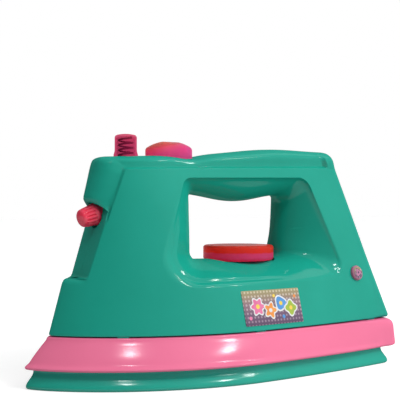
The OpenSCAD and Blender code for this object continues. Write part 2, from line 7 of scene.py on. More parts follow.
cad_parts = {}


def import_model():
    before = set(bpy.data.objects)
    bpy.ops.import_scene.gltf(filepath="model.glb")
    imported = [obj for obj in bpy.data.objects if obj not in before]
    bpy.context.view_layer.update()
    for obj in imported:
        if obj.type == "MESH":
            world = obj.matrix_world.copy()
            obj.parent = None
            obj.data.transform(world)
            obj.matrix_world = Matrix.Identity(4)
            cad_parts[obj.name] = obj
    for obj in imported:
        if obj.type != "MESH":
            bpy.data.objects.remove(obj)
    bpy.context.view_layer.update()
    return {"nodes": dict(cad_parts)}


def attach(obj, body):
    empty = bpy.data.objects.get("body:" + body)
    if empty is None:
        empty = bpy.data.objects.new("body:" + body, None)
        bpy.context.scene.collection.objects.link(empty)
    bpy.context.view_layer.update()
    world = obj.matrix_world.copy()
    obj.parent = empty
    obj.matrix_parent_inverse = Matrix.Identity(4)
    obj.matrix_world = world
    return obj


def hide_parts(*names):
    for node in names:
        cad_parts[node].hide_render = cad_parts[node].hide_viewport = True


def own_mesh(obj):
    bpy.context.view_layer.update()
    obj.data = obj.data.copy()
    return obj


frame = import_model()
bpy.ops.object.select_all(action="DESELECT")
MM = 0.001

# Sizes are in millimetres. The housing's main lines are those of the part's source.
LENGTH, FOOT_Z, FRONT_Z, TOP_RISE = 200, 23.8, 107.2, 6.4
SHOULDER_Z, SHOULDER_RISE, SHOULDER_FROM, SHOULDER_RUN = 100.9, 3.3, -55, 128.2
NOSE_FOOT, NOSE_TOP, HEEL_FOOT, HEEL_TOP = -88.5, -65.2, 99.0, 75.7
FOOT_W, GRIP_W, CROWN, WAVE_FADE, WAVE_FROM = 40.85, 17.0, 0.70, 10.5, 88.432
HEEL_ROUND, WALL, NOSE_CORE, SEAM = 7.2, 2.0, 11.0, 0.05
# the notch in the nose: a ledge with a rounded lip, a leaning flat wall and an arch over it
LEDGE_Z, LIP_R, LIP_FROM, LIP_FADE, HOLLOW_R = 49.84, 2.9, -73.0, 3.5, 1.6
WALL_FOOT, WALL_LEAN = -73.2, 0.325
ARCH_Z, ARCH_W, ARCH_H, ARCH_EDGE = 76.0, 11.0, 9.4, 3.2
ARCH_TOP = ARCH_Z + ARCH_H
# corners in the side view, from the lower front one round by the heel, and their radii
OUTWARD = np.array(((-1, -1), (1, -1), (1, 1), (-1, 1)))
THROAT = np.array(((-14.4, 56.944), (39.6, 55.936), (43.5, 90.4), (-16.4, 90.5)))
THROAT_R = np.array((4.2, 4.0, 4.2, 2.52))
FLARE = np.array(((-46.5, 45.52), (67, 47.032), (51, 98.932), (-26, 97.42)))
FLARE_R = np.array((14.28, 6.72, 7.56, 5.88))
PANEL, PANEL_R = ((-79.5, 25.4), (95.6, 25.4), (73.2, 104.2), (-55, 100.9)), (2.0, 2.0, 1.6, 2.6)
OUTER_R = (1.0, 1.0, 6.4, 7.14)
# the handle opening's rim and ledge, and the step round the side panel
RIM_DEEP, RIM_WIDE, LEDGE_AT, LEDGE_WIDE = 1.0, 0.55, 0.9, 0.024
PANEL_STEP, STEP_WIDE, TOP_STEP, TOP_STEP_WIDE = 1.0, 0.85, 1.9, 1.6
HOLD_TOP, HOLD_NOSE = 3.4, 1.2
# where the smaller pieces stand
NOZZLE_AT, NOZZLE_TILT = (-64.3, 0.0, 79.996), math.radians(17)
STEAM_X, SPRAY_X, DIAL_X = -48.5, -24.3, 18.0
BOSSES, BOSS_R, BOSS_FLOOR = ((-41, 88.9), (-66, 33.04), (57.5, 98.14), (83, 34.3)), 2.7, 5.76
SOLE_SCREWS = ((-62, 0), (62, 26.6), (62, -26.6))
CAP_AT, CAP_FACE = (74.5, 47.992), 1.815
LABEL_AT, LABEL_SIZE, LABEL_THICK = (13.0, 34.552), (35.5, 16.4), 0.31


# The shape of the housing


def mix(a, b, t):
    return a + (b - a) * t


def smooth(t):
    t = np.clip(t, 0, 1)
    return t * t * (3 - 2 * t)


def hump(x, at, wide):
    """A soft hump of height 1."""
    return np.exp(-(((x - at) / wide) ** 2))


def round_in(depth, span, power):
    """Grows from 0 to 1 over a span, as the rounded end of a shape does."""
    return (1 - (1 - np.clip(depth / span, 0, 1)) ** power) ** (1 / power)


def quarter(d, r):
    """How far a rounded edge of radius r falls back at a distance d from its end."""
    d = np.clip(d, 0, r)
    return r - np.sqrt(np.clip(r * r - (r - d) ** 2, 0, None))


def parts_of(n):
    """The ends of n equal parts of a whole."""
    return np.arange(1, n + 1) / n


def halve(near, far, past):
    """Closes in on the place between near and far from which on past is true."""
    for _ in range(40):
        middle = (near + far) / 2
        near, far = (near, middle) if past(middle) else (middle, far)
    return near, far


def nose_x(z):
    return mix(NOSE_FOOT, NOSE_TOP, (z - FOOT_Z) / (FRONT_Z - FOOT_Z))


def heel_x(z):
    return mix(HEEL_FOOT, HEEL_TOP, (z - FOOT_Z) / (FRONT_Z - FOOT_Z))


def top_chord(x):
    return FRONT_Z + TOP_RISE * (x - NOSE_TOP) / (HEEL_TOP - NOSE_TOP)


def top_wave(x):
    """The top's swell over the grip and its dip behind the keys."""
    return 2.35 * hump(x, 35, 29) - 1.95 * hump(x, -17, 10)


def shoulder(x):
    """Height of the panel's top edge, where the leaning side ends and the upright crown begins."""
    return SHOULDER_Z + SHOULDER_RISE * np.clip((x - SHOULDER_FROM) / SHOULDER_RUN, 0, 1)


def heel_slim(x):
    return 1 - 0.18 * np.clip(x / 100 + 0.14, 0, 1) ** 2


def side_w(x, z, wall=0.0, nose_wall=0.0):
    """Half the housing's width at a place of the side view, before the notch in the nose."""
    lean = np.clip(z, FOOT_Z, shoulder(x)) - FOOT_Z
    rise = lean / (SHOULDER_Z - FOOT_Z)
    reach = LENGTH * mix(0.475, 0.2, rise)
    ahead = np.clip((x - nose_x(z) - nose_wall) / reach, 0, 1)
    fill = (1 - (1 - ahead) ** 2) ** mix(0.78, 0.45, rise**3)
    wide = mix(FOOT_W, GRIP_W, rise) * heel_slim(x) - wall
    back = round_in(heel_x(z) - wall - x, HEEL_ROUND, 3)
    top = top_chord(x) + top_wave(x)
    return wide * fill * back * round_in(top - wall - z, CROWN * (top - shoulder(x)), 2.3)


def wall_x(z):
    """The flat wall at the back of the notch, with a small hollow where it meets the ledge."""
    hollow = quarter(z - LEDGE_Z, HOLLOW_R) if z > LEDGE_Z else HOLLOW_R
    return WALL_FOOT + WALL_LEAN * (z - LEDGE_Z) - float(hollow)


def shell_w(x, z):
    """Half width with the ledge's rounded lip and the rounded foot edge, softer at the heel."""
    lip = np.where(z <= LEDGE_Z, quarter(LEDGE_Z - z, LIP_R), 0.0)
    foot = quarter(z - FOOT_Z, 0.6 + 1.6 * smooth((x - 80) / 13))
    return np.clip(side_w(x, z) - lip * smooth((LIP_FROM - x) / LIP_FADE) - foot, 0, None)


CORNER_STEPS = 10


def corner(before, at, after, r, n=CORNER_STEPS):
    """An arc of radius r in the corner between two sides."""
    u = (before - at) / np.linalg.norm(before - at)
    v = (after - at) / np.linalg.norm(after - at)
    half = math.acos(float(np.dot(u, v))) / 2
    centre = at + (u + v) / np.linalg.norm(u + v) * r / math.sin(half)
    start = at + u * r / math.tan(half) - centre
    a, turn = math.atan2(start[1], start[0]), math.pi - half * 2
    angles = [a + turn * k / n for k in range(n + 1)]
    return [centre + r * np.array((math.cos(t), math.sin(t))) for t in angles]


def four_sided(quad, radii, shares):
    """A closed line with rounded corners, from the lower front corner round by the heel."""
    q = [np.array(p, float) for p in quad]
    arcs = [corner(q[k - 1], q[k], q[(k + 1) % 4], radii[k]) for k in range(4)]
    line = []
    for k in range(4):
        line += arcs[k]
        line += [mix(arcs[k][-1], arcs[(k + 1) % 4][0], t) for t in shares[k]]
    return np.array(line)


def outer_corners(inset=0.0, nose=0.0):
    low, front, heel = FOOT_Z + inset, top_chord(NOSE_TOP) - inset, top_chord(HEEL_TOP) - inset
    return [
        (nose_x(low) + nose, low),
        (heel_x(low) - inset, low),
        (heel_x(heel) - inset, heel),
        (nose_x(front) + nose, front),
    ]


def nose_heights(high, low):
    """Heights down the nose, close together round the brow and the ledge."""
    near = np.array((0.03, 0.1, 0.22, 0.4, 0.62, 0.9, 1.2, 1.55, 1.95, 2.4, 2.9, 3.5))
    z = np.concatenate([ARCH_TOP + near[:9], ARCH_TOP - near, LEDGE_Z + near, LEDGE_Z - near])
    free = np.arange(low + 0.6, high - 0.3, 0.95)
    gap = np.abs(free[:, None] - z[None, :]).min(1)
    z = np.concatenate([z, free[gap > 0.5]])
    return np.sort(z[(z < high) & (z > low)])[::-1]


def column_shares():
    """Where the columns of a half housing stand along its four sides, and the nose's heights."""
    q = [np.array(p, float) for p in outer_corners()]
    high = corner(q[2], q[3], q[0], OUTER_R[3], 2)[-1][1]
    low = corner(q[3], q[0], q[1], OUTER_R[0], 2)[0][1]
    z = nose_heights(high, low)
    return [parts_of(n)[:-1] for n in (110, 54, 120)] + [(high - z) / (high - low)], z


SHARES, NOSE_Z = column_shares()
# the columns at which each corner and each side begins
COL = np.cumsum([0] + [n for share in SHARES for n in (CORNER_STEPS + 1, len(share))])
COLUMNS = np.arange(COL[-1])


def by_column(at, values):
    return np.interp(COLUMNS, at, values)


def throat_line(grow=0.0):
    """The narrow middle of the handle opening, with its roof hanging down over the dial."""
    line = four_sided(THROAT + OUTWARD * grow, THROAT_R + grow, SHARES)
    line[:, 1] -= np.where(line[:, 1] > 71.93, 4.1 * hump(line[:, 0], 14, 19.5), 0)
    return line


def flare_line(grow=0.0):
    """The wide edge of the handle opening, on the side."""
    return four_sided(FLARE + OUTWARD * grow, FLARE_R + grow, SHARES)


def outer_line(inset=0.0, nose=0.0):
    """The housing's outline on the parting plane."""
    line = four_sided(outer_corners(inset, nose), OUTER_R, SHARES)
    line[:, 1] += top_wave(line[:, 0]) * np.clip((line[:, 1] - WAVE_FROM) / WAVE_FADE, 0, 1)
    return line


def nose_tip(z):
    """Where the housing's front lies on the parting plane at a height away from the notch."""
    near = nose_x(z)
    return halve(near, near + 14, lambda x: shell_w(np.float64(x), np.float64(z)) > 1e-6)[0]


def panel_line():
    """The edge of the raised side panel, which runs down the nose into the notch's edge."""
    line = four_sided(PANEL, PANEL_R, SHARES)
    high, low = 90, 40
    z = mix(high, 98.2, (NOSE_Z - high) / (NOSE_Z[0] - high))
    z = np.where(NOSE_Z > high, z, NOSE_Z)
    z = np.where(z < low, mix(27.6, low, (z - NOSE_Z[-1]) / (low - NOSE_Z[-1])), z)
    x = np.interp(z, (FOOT_Z, LEDGE_Z, 81, SHOULDER_Z), (-80, -72.3, -62.2, -55))
    line[COL[7] :] = np.stack([x, z], 1)
    return line


def panel_step():
    """How much of the panel's step each column has: none at the foot and the heel."""
    share = np.zeros(COL[-1])
    share[COL[5] : COL[7]] = smooth((67.4 - panel_line()[COL[5] : COL[7], 0]) / 1.1)
    share[COL[7] :] = smooth((NOSE_Z - 73) / 8)
    return share


def edge_radius():
    """How soft the edge of the handle opening is, towards the opening and towards the side."""
    at = (0, 11, 45, 72, COL[2], COL[3], COL[4], COL[6], COL[7], COL[8])
    inner = by_column(at, (3.8, 1.5, 1.4, 1.4, 1.6, 2.2, 0.8, 0.8, 0.9, 3.8))
    return inner, by_column(at, (3.8, 2.2, 1.5, 0.8, 1.8, 2.6, 0.8, 0.8, 0.9, 3.8))


def floor_ledge():
    """How high the floor of the opening stands over the band along its lower edge."""
    at = (0, 11, 45, 75, COL[2], COL[8] - 62, COL[8])
    return by_column(at, (1.7, 2.1, 1.0, 0.5, 0.0, 0.0, 1.7))


LEDGE_ROWS = np.concatenate(
    [np.linspace(0, 0.885, 13), (0.9, 0.905, 0.91, 0.915, 0.92, 0.926, 0.935, 0.948, 1.0)]
)
NEAR_STEPS = np.array((0.12, 0.26, 0.4, 0.55, 0.7, 0.95, 1.3))
BAND_ROWS, BAND_POWER = 24, 2.3
EDGE_ROWS, TURN_ROWS, CHEEK_ROWS, WALL_ROWS, TURN_R = 9, 7, 4, 4, 0.7


def row(points, y):
    return np.stack([points[:, 0], -np.clip(y, SEAM, None), points[:, 1]], 1)


def lengths(line):
    """The length along a line of points up to each of them."""
    return np.concatenate([[0], np.cumsum(np.linalg.norm(np.diff(line, axis=0), axis=1))])


def along(line, at):
    """Points at given lengths along a line of points."""
    return np.stack([np.interp(at, lengths(line), line[:, k]) for k in range(3)], 1)


def notch_column(panel, z, step):
    """One level line round the nose above the ledge: the side, the notch's edge and its wall."""
    wall, notched = wall_x(z), z < ARCH_TOP
    open_w = np.inf
    if z > ARCH_Z:
        open_w = ARCH_W * math.sqrt(max(1 - ((z - ARCH_Z) / ARCH_H) ** 2, 0))
    stop = wall if notched else nose_x(z)
    if notched and side_w(wall, z) > open_w:
        stop = halve(nose_x(z), wall, lambda x: side_w(x, z) > open_w)[1]
    x = mix(panel[0], stop, 1 - (1 - np.linspace(0, 1, 90)) ** 2)
    share = (x - x[0]) / (x[-1] - x[0])
    gone = np.abs(x - x[0])
    fade = 1 - smooth((gone - HOLD_NOSE) / max(gone[-1] - HOLD_NOSE - 1, 1))
    high = mix(panel[1], z, share)
    y = np.clip(side_w(x, high) - PANEL_STEP * step * smooth(gone / STEP_WIDE) * fade, 0, None)
    if z > ARCH_Z:
        edge = ARCH_EDGE * float(smooth((z - ARCH_Z) / 3))
        beyond = (np.hypot(y / ARCH_W, (z - ARCH_Z) / ARCH_H) - 1) * ARCH_H
        x = x + quarter(np.clip(beyond, 0, None), max(edge, 1e-6))
        x = np.minimum(x, np.maximum(wall, panel[0]))
    side = np.stack([x, y, high], 1)
    run, end = lengths(side), side[-1]
    length = run[-1]
    back = [end, (wall, end[1], z), (wall, 0, z)] if notched else [end, end, end]
    back = np.array(back, float)
    cheek, whole = abs(end[0] - back[1][0]), lengths(back)[-1]
    r = min(TURN_R, length * 0.4, whole * 0.4)
    steps = np.minimum(NEAR_STEPS, (length - r) * np.arange(1, 8) / 16)
    rest = mix(steps[-1], length - r, 1 - (1 - parts_of(EDGE_ROWS)) ** 1.6)
    mine = np.concatenate([steps, rest])
    if notched:
        out = along(side, mine)
        u = parts_of(TURN_ROWS)[:, None]
        turn = out[-1] * (1 - u) ** 2 + end * 2 * u * (1 - u) + along(back, [r]) * u * u
        to_wall = mix(r, max(r, cheek), parts_of(CHEEK_ROWS))
        to_seam = mix(max(r, cheek), whole, parts_of(WALL_ROWS))
        out = np.concatenate([out, turn, along(back, to_wall), along(back, to_seam)])
    else:
        plain = np.minimum(NEAR_STEPS, gone[-1] / 2) / gone[-1]
        spaced = mix(plain[-1], 1, 1 - (1 - parts_of(BAND_ROWS)) ** BAND_POWER)
        plain = np.interp(np.concatenate([plain, spaced]), share, run)
        mine = np.concatenate([mine, np.full(TURN_ROWS + CHEEK_ROWS + WALL_ROWS, length)])
        out = along(side, mix(mine, plain, float(smooth((z - ARCH_TOP - 0.5) / 7))))
    return row(out[:, [0, 2]], out[:, 1])


def outer_rows():
    """The outside of a half housing, row by row from the throat to the parting edge."""
    throat, edge, panel, outer = throat_line(), flare_line(), panel_line(), outer_line()
    outer[COL[7] :] = np.stack([[nose_tip(z) for z in NOSE_Z], NOSE_Z], 1)
    edge_w = shell_w(edge[:, 0], edge[:, 1])
    inward = (throat - edge) / np.linalg.norm(throat - edge, axis=1)[:, None]
    rim = by_column(COL[[0, 2, 3, 4, 7, 8]], (0.0, 0.0, 0.5, 1.0, 1.0, 0.0))
    soft, soft_out = edge_radius()
    ledge = floor_ledge()
    stepped = smooth(ledge)
    slant = np.hypot(2.4 * np.linalg.norm(edge - throat, axis=1), edge_w)
    last_f = mix(1 - np.clip(soft / slant, 0, 0.3), 0.93, rim)
    first_s = np.clip(soft_out / np.linalg.norm(panel - edge, axis=1), 0, 0.4)
    bend = by_column(COL[[0, 2, 3, 4, 5, 6, 7, 8]], (2.0, 1.8, 1.6, 1.7, 2.6, 2.9, 2.4, 2.0))
    # the floor stays low and flat towards its corner at the heel
    heel_corner = COL[2] + 5
    valley = 1.8 * hump(COLUMNS, heel_corner, 17)
    bend_z = bend + 2.4 * hump(COLUMNS, heel_corner, 30)

    def flare(f):
        drop_off = 1 - smooth((f - LEDGE_AT) / LEDGE_WIDE)
        up = 4 * f * (1 - f) * valley + ledge * np.clip(f / LEDGE_AT, 0, 1) ** 2 * drop_off
        share = np.stack([f**bend, f**bend_z], 1)
        return mix(throat, edge, share) + up[:, None] * inward, (edge_w - RIM_DEEP * rim) * f

    def side(s):
        p = mix(edge, panel, s[:, None])
        return p, shell_w(p[:, 0], p[:, 1])

    # the flared wall of the opening
    rows = [row(throat, np.zeros(len(throat)))]
    for k, at in enumerate(LEDGE_ROWS):
        even = last_f * k / (len(LEDGE_ROWS) - 1)
        rows.append(row(*flare(mix(even, np.minimum(at, last_f), stepped))))
    # the opening's edge: rounded along the floor, a raised rim along the roof
    (pa, ya), (pc, yc) = flare(last_f), side(first_s)
    foot, foot_y = edge + inward * RIM_WIDE, edge_w - RIM_DEEP
    rising, beyond = (0, 0.08, 0.45, 0.8, 0.92), (0.12, 0.3, 0.65)
    stops = [(mix(foot, edge, t), mix(foot_y, edge_w, t)) for t in rising]
    stops += [(mix(edge, pc, t), mix(edge_w, yc, t)) for t in beyond]
    for t, (rim_p, rim_y) in zip((0.05, 0.14, 0.27, 0.42, 0.58, 0.73, 0.86, 0.95), stops):
        bulge = mix(0.2, 0.5, stepped) * 4 * t * (1 - t)
        p = mix(pa, pc, t) + bulge[:, None] * (edge - (pa + pc) / 2)
        y = mix(ya, yc, t) + bulge * (edge_w - (ya + yc) / 2)
        rows.append(row(mix(p, rim_p, rim[:, None]), mix(y, rim_y, rim)))
    # the side panel
    for t in np.concatenate([np.arange(0, 24) / 25, (0.975, 0.99, 1.0)]):
        rows.append(row(*side(mix(first_s, 1.0, t))))
    # the step round the panel and the band beyond it
    share = panel_step()
    band = np.linalg.norm(outer - panel, axis=1)
    reach = [np.minimum(band * 0.5, q) for q in NEAR_STEPS]
    reach += [mix(reach[-1], band, 1 - (1 - t) ** BAND_POWER) for t in parts_of(BAND_ROWS)]
    hold = by_column(COL[[4, 6, 7, 8]], (HOLD_TOP, HOLD_TOP, HOLD_NOSE, HOLD_NOSE))
    wide = by_column(COL[[4, 6, 7]], (TOP_STEP_WIDE, TOP_STEP_WIDE, STEP_WIDE))
    deep = share * by_column(COL[[4, 6, 7]], (TOP_STEP, TOP_STEP, PANEL_STEP))
    for q in reach:
        p = mix(panel, outer, (q / band)[:, None])
        sink = deep * smooth(q / wide) * (1 - smooth((q - hold) / np.maximum(band - hold - 1, 1)))
        rows.append(row(p, shell_w(p[:, 0], p[:, 1]) - sink))
    # the notch takes the place of the band on the nose
    for k in range(COL[7], COL[8]):
        if NOSE_Z[k - COL[7]] > LEDGE_Z:
            column = notch_column(panel[k], outer[k, 1], share[k])
            for step, point in enumerate(column):
                rows[step - len(column)][k] = point
            outer[k] = column[-1][[0, 2]]
    rows.append(row(outer, np.zeros(len(outer))))
    return rows


def inner_rows():
    """The inside of the wall, from the parting edge back to the throat."""
    throat, edge, outer = throat_line(WALL), flare_line(WALL), outer_line(WALL, NOSE_CORE)
    edge_w = side_w(edge[:, 0], edge[:, 1], WALL, NOSE_CORE)
    rows = [row(throat, np.zeros(len(throat)))]
    for f in (0.0, 0.3, 0.55, 0.8, 1.0):
        rows.append(row(mix(throat, edge, f * f), edge_w * f))
    for s in (0.2, 0.42, 0.62, 0.77, 0.88, 0.95, 0.985, 1.0):
        p = mix(edge, outer, s)
        rows.append(row(p, side_w(p[:, 0], p[:, 1], WALL, NOSE_CORE)))
    rows.append(row(outer, np.zeros(len(outer))))
    return rows[::-1]


# Making pieces


def only(piece):
    """Selects one piece and makes it active."""
    bpy.ops.object.select_all(action="DESELECT")
    piece.select_set(True)
    bpy.context.view_layer.objects.active = piece


def edit(piece, *steps):
    """Runs steps in edit mode on the whole piece."""
    only(piece)
    bpy.ops.object.mode_set(mode="EDIT")
    bpy.ops.mesh.select_all(action="SELECT")
    for step in steps:
        step()
    bpy.ops.object.mode_set(mode="OBJECT")
    return piece


def clean(piece, merge=1e-6):
    """Merges points that meet, removes faces without area and turns all faces outward."""
    return edit(
        piece,
        lambda: bpy.ops.mesh.remove_doubles(threshold=merge),
        lambda: bpy.ops.mesh.dissolve_degenerate(threshold=1e-7),
        lambda: bpy.ops.mesh.normals_make_consistent(inside=False),
    )


def new_piece(name, points, edges=(), faces=()):
    mesh = bpy.data.meshes.new(name)
    points = [tuple(p) for p in np.asarray(points, float) * MM]
    mesh.from_pydata(points, list(edges), [tuple(int(i) for i in face) for face in faces])
    piece = bpy.data.objects.new(name, mesh)
    bpy.context.scene.collection.objects.link(piece)
    return piece


def ring_quads(rows, columns, wrap):
    """The faces between closed rings of points, and from the last ring to the first by wrap."""
    quads = []
    for r in range(rows if wrap else rows - 1):
        a, b = r * columns, ((r + 1) % rows) * columns
        for c in range(columns):
            d = (c + 1) % columns
            quads.append((a + c, a + d, b + d, b + c))
    return quads


def loft(name, rings, caps=True, wrap=False):
    n, m = len(rings), len(rings[0])
    faces = ring_quads(n, m, wrap)
    if caps and not wrap:
        faces += [tuple(range(m)), tuple(range((n - 1) * m, n * m))]
    return clean(new_piece(name, np.concatenate(rings), faces=faces))


def place(piece, at, turn=None):
    move = Matrix.Translation(Vector(at) * MM)
    piece.data.transform(move @ turn.to_4x4() if turn else move)
    return piece


def lathe(name, profile, steps=96, at=(0, 0, 0), turn=None):
    """A profile of (radius, height) spun into a solid, then turned and moved to its place."""
    line = [(k, k + 1) for k in range(len(profile) - 1)]
    piece = new_piece(name, [(r, 0, z) for r, z in profile], line)
    whole = {"angle": 2 * math.pi, "center": (0, 0, 0), "axis": (0, 0, 1)}
    edit(piece, lambda: bpy.ops.mesh.spin(steps=steps, **whole))
    return place(clean(piece), at, turn)


def bar(r, low, high, at=(0, 0, 0), turn=None, steps=96):
    """A round cutter from low to high along its own axis."""
    return lathe("cutter", [(0, low), (r, low), (r, high), (0, high)], steps, at, turn)


def arc(cx, cz, r, start, stop, n):
    a = np.radians(np.linspace(start, stop, n + 1))
    return [(cx + r * math.cos(t), cz + r * math.sin(t)) for t in a]


def cut(piece, tools):
    """Cuts the tools out of a piece and removes them."""
    only(piece)
    for tool in tools:
        step = piece.modifiers.new("cut", "BOOLEAN")
        step.operation, step.solver, step.object = "DIFFERENCE", "MANIFOLD", tool
        bpy.ops.object.modifier_apply(modifier=step.name)
    for tool in tools:
        bpy.data.objects.remove(tool)


def join(pieces):
    only(pieces[0])
    for piece in pieces:
        piece.select_set(True)
    bpy.ops.object.join()
    return pieces[0]


def finish_piece(piece, material, node_name=None, angle=32, body="housing"):
    """Shades a piece, gives it its material, hangs it on the body it rides on and hides the part it
    stands for.
    """
    only(piece)
    bpy.ops.object.shade_smooth_by_angle(angle=math.radians(angle))
    piece.data.materials.clear()
    piece.data.materials.append(material)
    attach(piece, body)
    if node_name:
        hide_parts(node_name)


def key_ring(length, width, z):
    """A level line with round ends, at the spray button's place."""
    a = np.radians(np.linspace(-90, 90, 48))
    half, r = (length - width) / 2, width / 2
    right = np.stack([half + r * np.cos(a), r * np.sin(a)], 1)
    p = np.concatenate([right, -right])
    return np.stack([p[:, 0] + SPRAY_X, p[:, 1], np.full(len(p), float(z))], 1)


def nozzle_turn():
    return Matrix.Rotation(-math.pi / 2 - NOZZLE_TILT, 3, "Y")


def to_right():
    """Turns a piece's axis from up to sideways, out of the right side."""
    return Matrix.Rotation(math.radians(-90), 3, "X")


def cap_turn():
    """The turn that stands the round cap on the left side."""
    (x, z), h = CAP_AT, 0.4
    slope_x = (side_w(x + h, z) - side_w(x - h, z)) / (2 * h)
    slope_z = (side_w(x, z + h) - side_w(x, z - h)) / (2 * h)
    out = Vector((-slope_x, -1, -slope_z)).normalized()
    lean = Matrix.Rotation(math.acos(out.z), 3, "Y")
    return Matrix.Rotation(math.atan2(out.y, out.x), 3, "Z") @ lean


def cap_seat():
    return CAP_AT[0], -float(side_w(*CAP_AT)), CAP_AT[1]


# Materials


def put(tree, value, socket):
    """Links a node's output to a socket, or sets the socket to a plain value."""
    if isinstance(value, bpy.types.NodeSocket):
        tree.links.new(value, socket)
    else:
        socket.default_value = value


def node(tree, kind, **values):
    made = tree.nodes.new(kind)
    for key, value in values.items():
        if key in ("operation", "data_type"):
            setattr(made, key, value)
        else:
            put(tree, value, made.inputs[key.replace("_", " ")])
    return made


def maths(tree, operation, *values, kind="ShaderNodeMath", out="Value"):
    made = node(tree, kind, operation=operation)
    for value, socket in zip(values, made.inputs):
        put(tree, value, socket)
    return made.outputs[out]


def vector_maths(tree, operation, *values, out="Value"):
    return maths(tree, operation, *values, kind="ShaderNodeVectorMath", out=out)


def axes(tree, where):
    return node(tree, "ShaderNodeSeparateXYZ", Vector=where).outputs


def start_material(name):
    material = bpy.data.materials.new(name)
    material.use_nodes = True
    tree = material.node_tree
    where = tree.nodes.new("ShaderNodeTexCoord").outputs["Object"]
    return material, tree, tree.nodes["Principled BSDF"], where


def ramp(tree, factor, stops):
    made = tree.nodes.new("ShaderNodeValToRGB")
    band = made.color_ramp
    while len(band.elements) < len(stops):
        band.elements.new(0.5)
    for element, (at, colour) in zip(band.elements, stops):
        element.position, element.color = at, (*colour, 1)
    tree.links.new(factor, made.inputs["Fac"])
    return made.outputs["Color"]


def spread(tree, value, from_min, from_max, to_min, to_max):
    ends = {"From_Min": from_min, "From_Max": from_max, "To_Min": to_min, "To_Max": to_max}
    return node(tree, "ShaderNodeMapRange", Value=value, **ends).outputs["Result"]


def noise(tree, where, scale, detail=3.0):
    made = node(tree, "ShaderNodeTexNoise", Scale=scale, Detail=detail, Vector=where)
    return made.outputs["Fac"]


def blotch(tree, where, scale, low, high, detail=3.0):
    """A value that wanders between low and high over the surface."""
    return spread(tree, noise(tree, where, scale, detail), 0.3, 0.7, low, high)


def mix_shaders(tree, share, first, second, output="Material Output"):
    """Shows the second shader by a share and the first by the rest."""
    both = node(tree, "ShaderNodeMixShader", Fac=share)
    tree.links.new(first, both.inputs[1])
    tree.links.new(second, both.inputs[2])
    tree.links.new(both.outputs["Shader"], tree.nodes[output].inputs["Surface"])


def over_plastic(material, share, second):
    tree = material.node_tree
    mix_shaders(tree, share, tree.nodes["Principled BSDF"].outputs["BSDF"], second)
    return material


def moulded_plastic(name, light, deep, shine):
    """Opaque moulded plastic: slightly uneven colour and gloss."""
    material, tree, shader, where = start_material(name)
    colour = ramp(tree, noise(tree, where, 40), [(0.3, deep), (0.7, light)])
    put(tree, colour, shader.inputs["Base Color"])
    put(tree, blotch(tree, where, 90, 0.26, 0.35, 2.0), shader.inputs["Roughness"])
    put(tree, shine, shader.inputs["Specular IOR Level"])
    return material


def clear_plastic(name, stops, heights, rough, shine, lean=0.0, glow=0.0, glow_far=0.012):
    """Bright plastic whose colour changes with height, and along the toy by lean. Its colour
    carries painted light: the stops paint light towards the top of each part, and a lean shifts it
    towards one end.
    """
    material, tree, shader, where = start_material(name)
    height = vector_maths(tree, "DOT_PRODUCT", where, (lean, 0, 1))
    height = spread(tree, height, heights[0] * MM, heights[1] * MM, 0, 1)
    uneven = spread(tree, noise(tree, where, 220), 0, 1, -0.06, 0.06)
    colour = ramp(tree, maths(tree, "ADD", height, uneven), stops)
    put(tree, colour, shader.inputs["Base Color"])
    rough = blotch(tree, where, 300, rough - 0.03, rough + 0.04, 2.0)
    put(tree, rough, shader.inputs["Roughness"])
    put(tree, shine, shader.inputs["Specular IOR Level"])
    put(tree, glow, shader.inputs["Subsurface Weight"])
    put(tree, (1.0, 0.35, 0.45), shader.inputs["Subsurface Radius"])
    put(tree, glow_far, shader.inputs["Subsurface Scale"])
    return material


def even_gloss(material, share, rough):
    """A thin even gloss over a plastic, the same from every side."""
    colour = (1, 1, 1, 1)
    gloss = node(material.node_tree, "ShaderNodeBsdfAnisotropic", Roughness=rough, Color=colour)
    return over_plastic(material, share, gloss.outputs["BSDF"])


def milky(material, share):
    """Lets a share of the light behind a plastic glow through it in the plastic's own colour."""
    tree = material.node_tree
    colour = tree.nodes["Principled BSDF"].inputs["Base Color"].links[0].from_socket
    glow = node(tree, "ShaderNodeBsdfTranslucent", Color=colour)
    return over_plastic(material, share, glow.outputs["BSDF"])


def tinted_film(material, inner, outer, share, axis_x, reach, roof):
    """Lets light straight through a share of a round hollow plastic.

    Its outer skin, beyond reach from its axis or as far over its roof, tints more than the inner.
    """
    tree = material.node_tree
    where = tree.nodes.new("ShaderNodeTexCoord").outputs["Object"]
    to_axis = (-axis_x * MM, 0, 0)
    flat = vector_maths(tree, "MULTIPLY_ADD", where, (1, 1, 0), to_axis, out="Vector")
    radius = vector_maths(tree, "LENGTH", flat)
    height = maths(tree, "SUBTRACT", axes(tree, where)["Z"], roof * MM)
    out = maths(tree, "MAXIMUM", radius, height)
    skin = spread(tree, out, (reach - 0.1) * MM, (reach + 0.1) * MM, 0, 1)
    tint = ramp(tree, skin, [(0.0, inner), (1.0, outer)])
    clear = node(tree, "ShaderNodeBsdfTransparent", Color=tint)
    return over_plastic(material, share, clear.outputs["BSDF"])


def metal(name, deep, light, scales, rough, metallic):
    material, tree, shader, where = start_material(name)
    colour = ramp(tree, noise(tree, where, scales[0]), [(0.3, deep), (0.7, light)])
    put(tree, colour, shader.inputs["Base Color"])
    put(tree, blotch(tree, where, scales[1], *rough), shader.inputs["Roughness"])
    put(tree, metallic, shader.inputs["Metallic"])
    return material


def dots(tree, where, pitch, size):
    """1 inside round dots on a square grid in the side view, 0 between them."""
    squares = []
    for axis in ("X", "Z"):
        part = maths(tree, "FRACT", maths(tree, "MULTIPLY", axes(tree, where)[axis], 1 / pitch))
        squares.append(maths(tree, "POWER", maths(tree, "SUBTRACT", part, 0.5), 2))
    total = maths(tree, "ADD", *squares)
    return spread(tree, total, (size * 0.8) ** 2, (size * 1.2) ** 2, 1, 0)


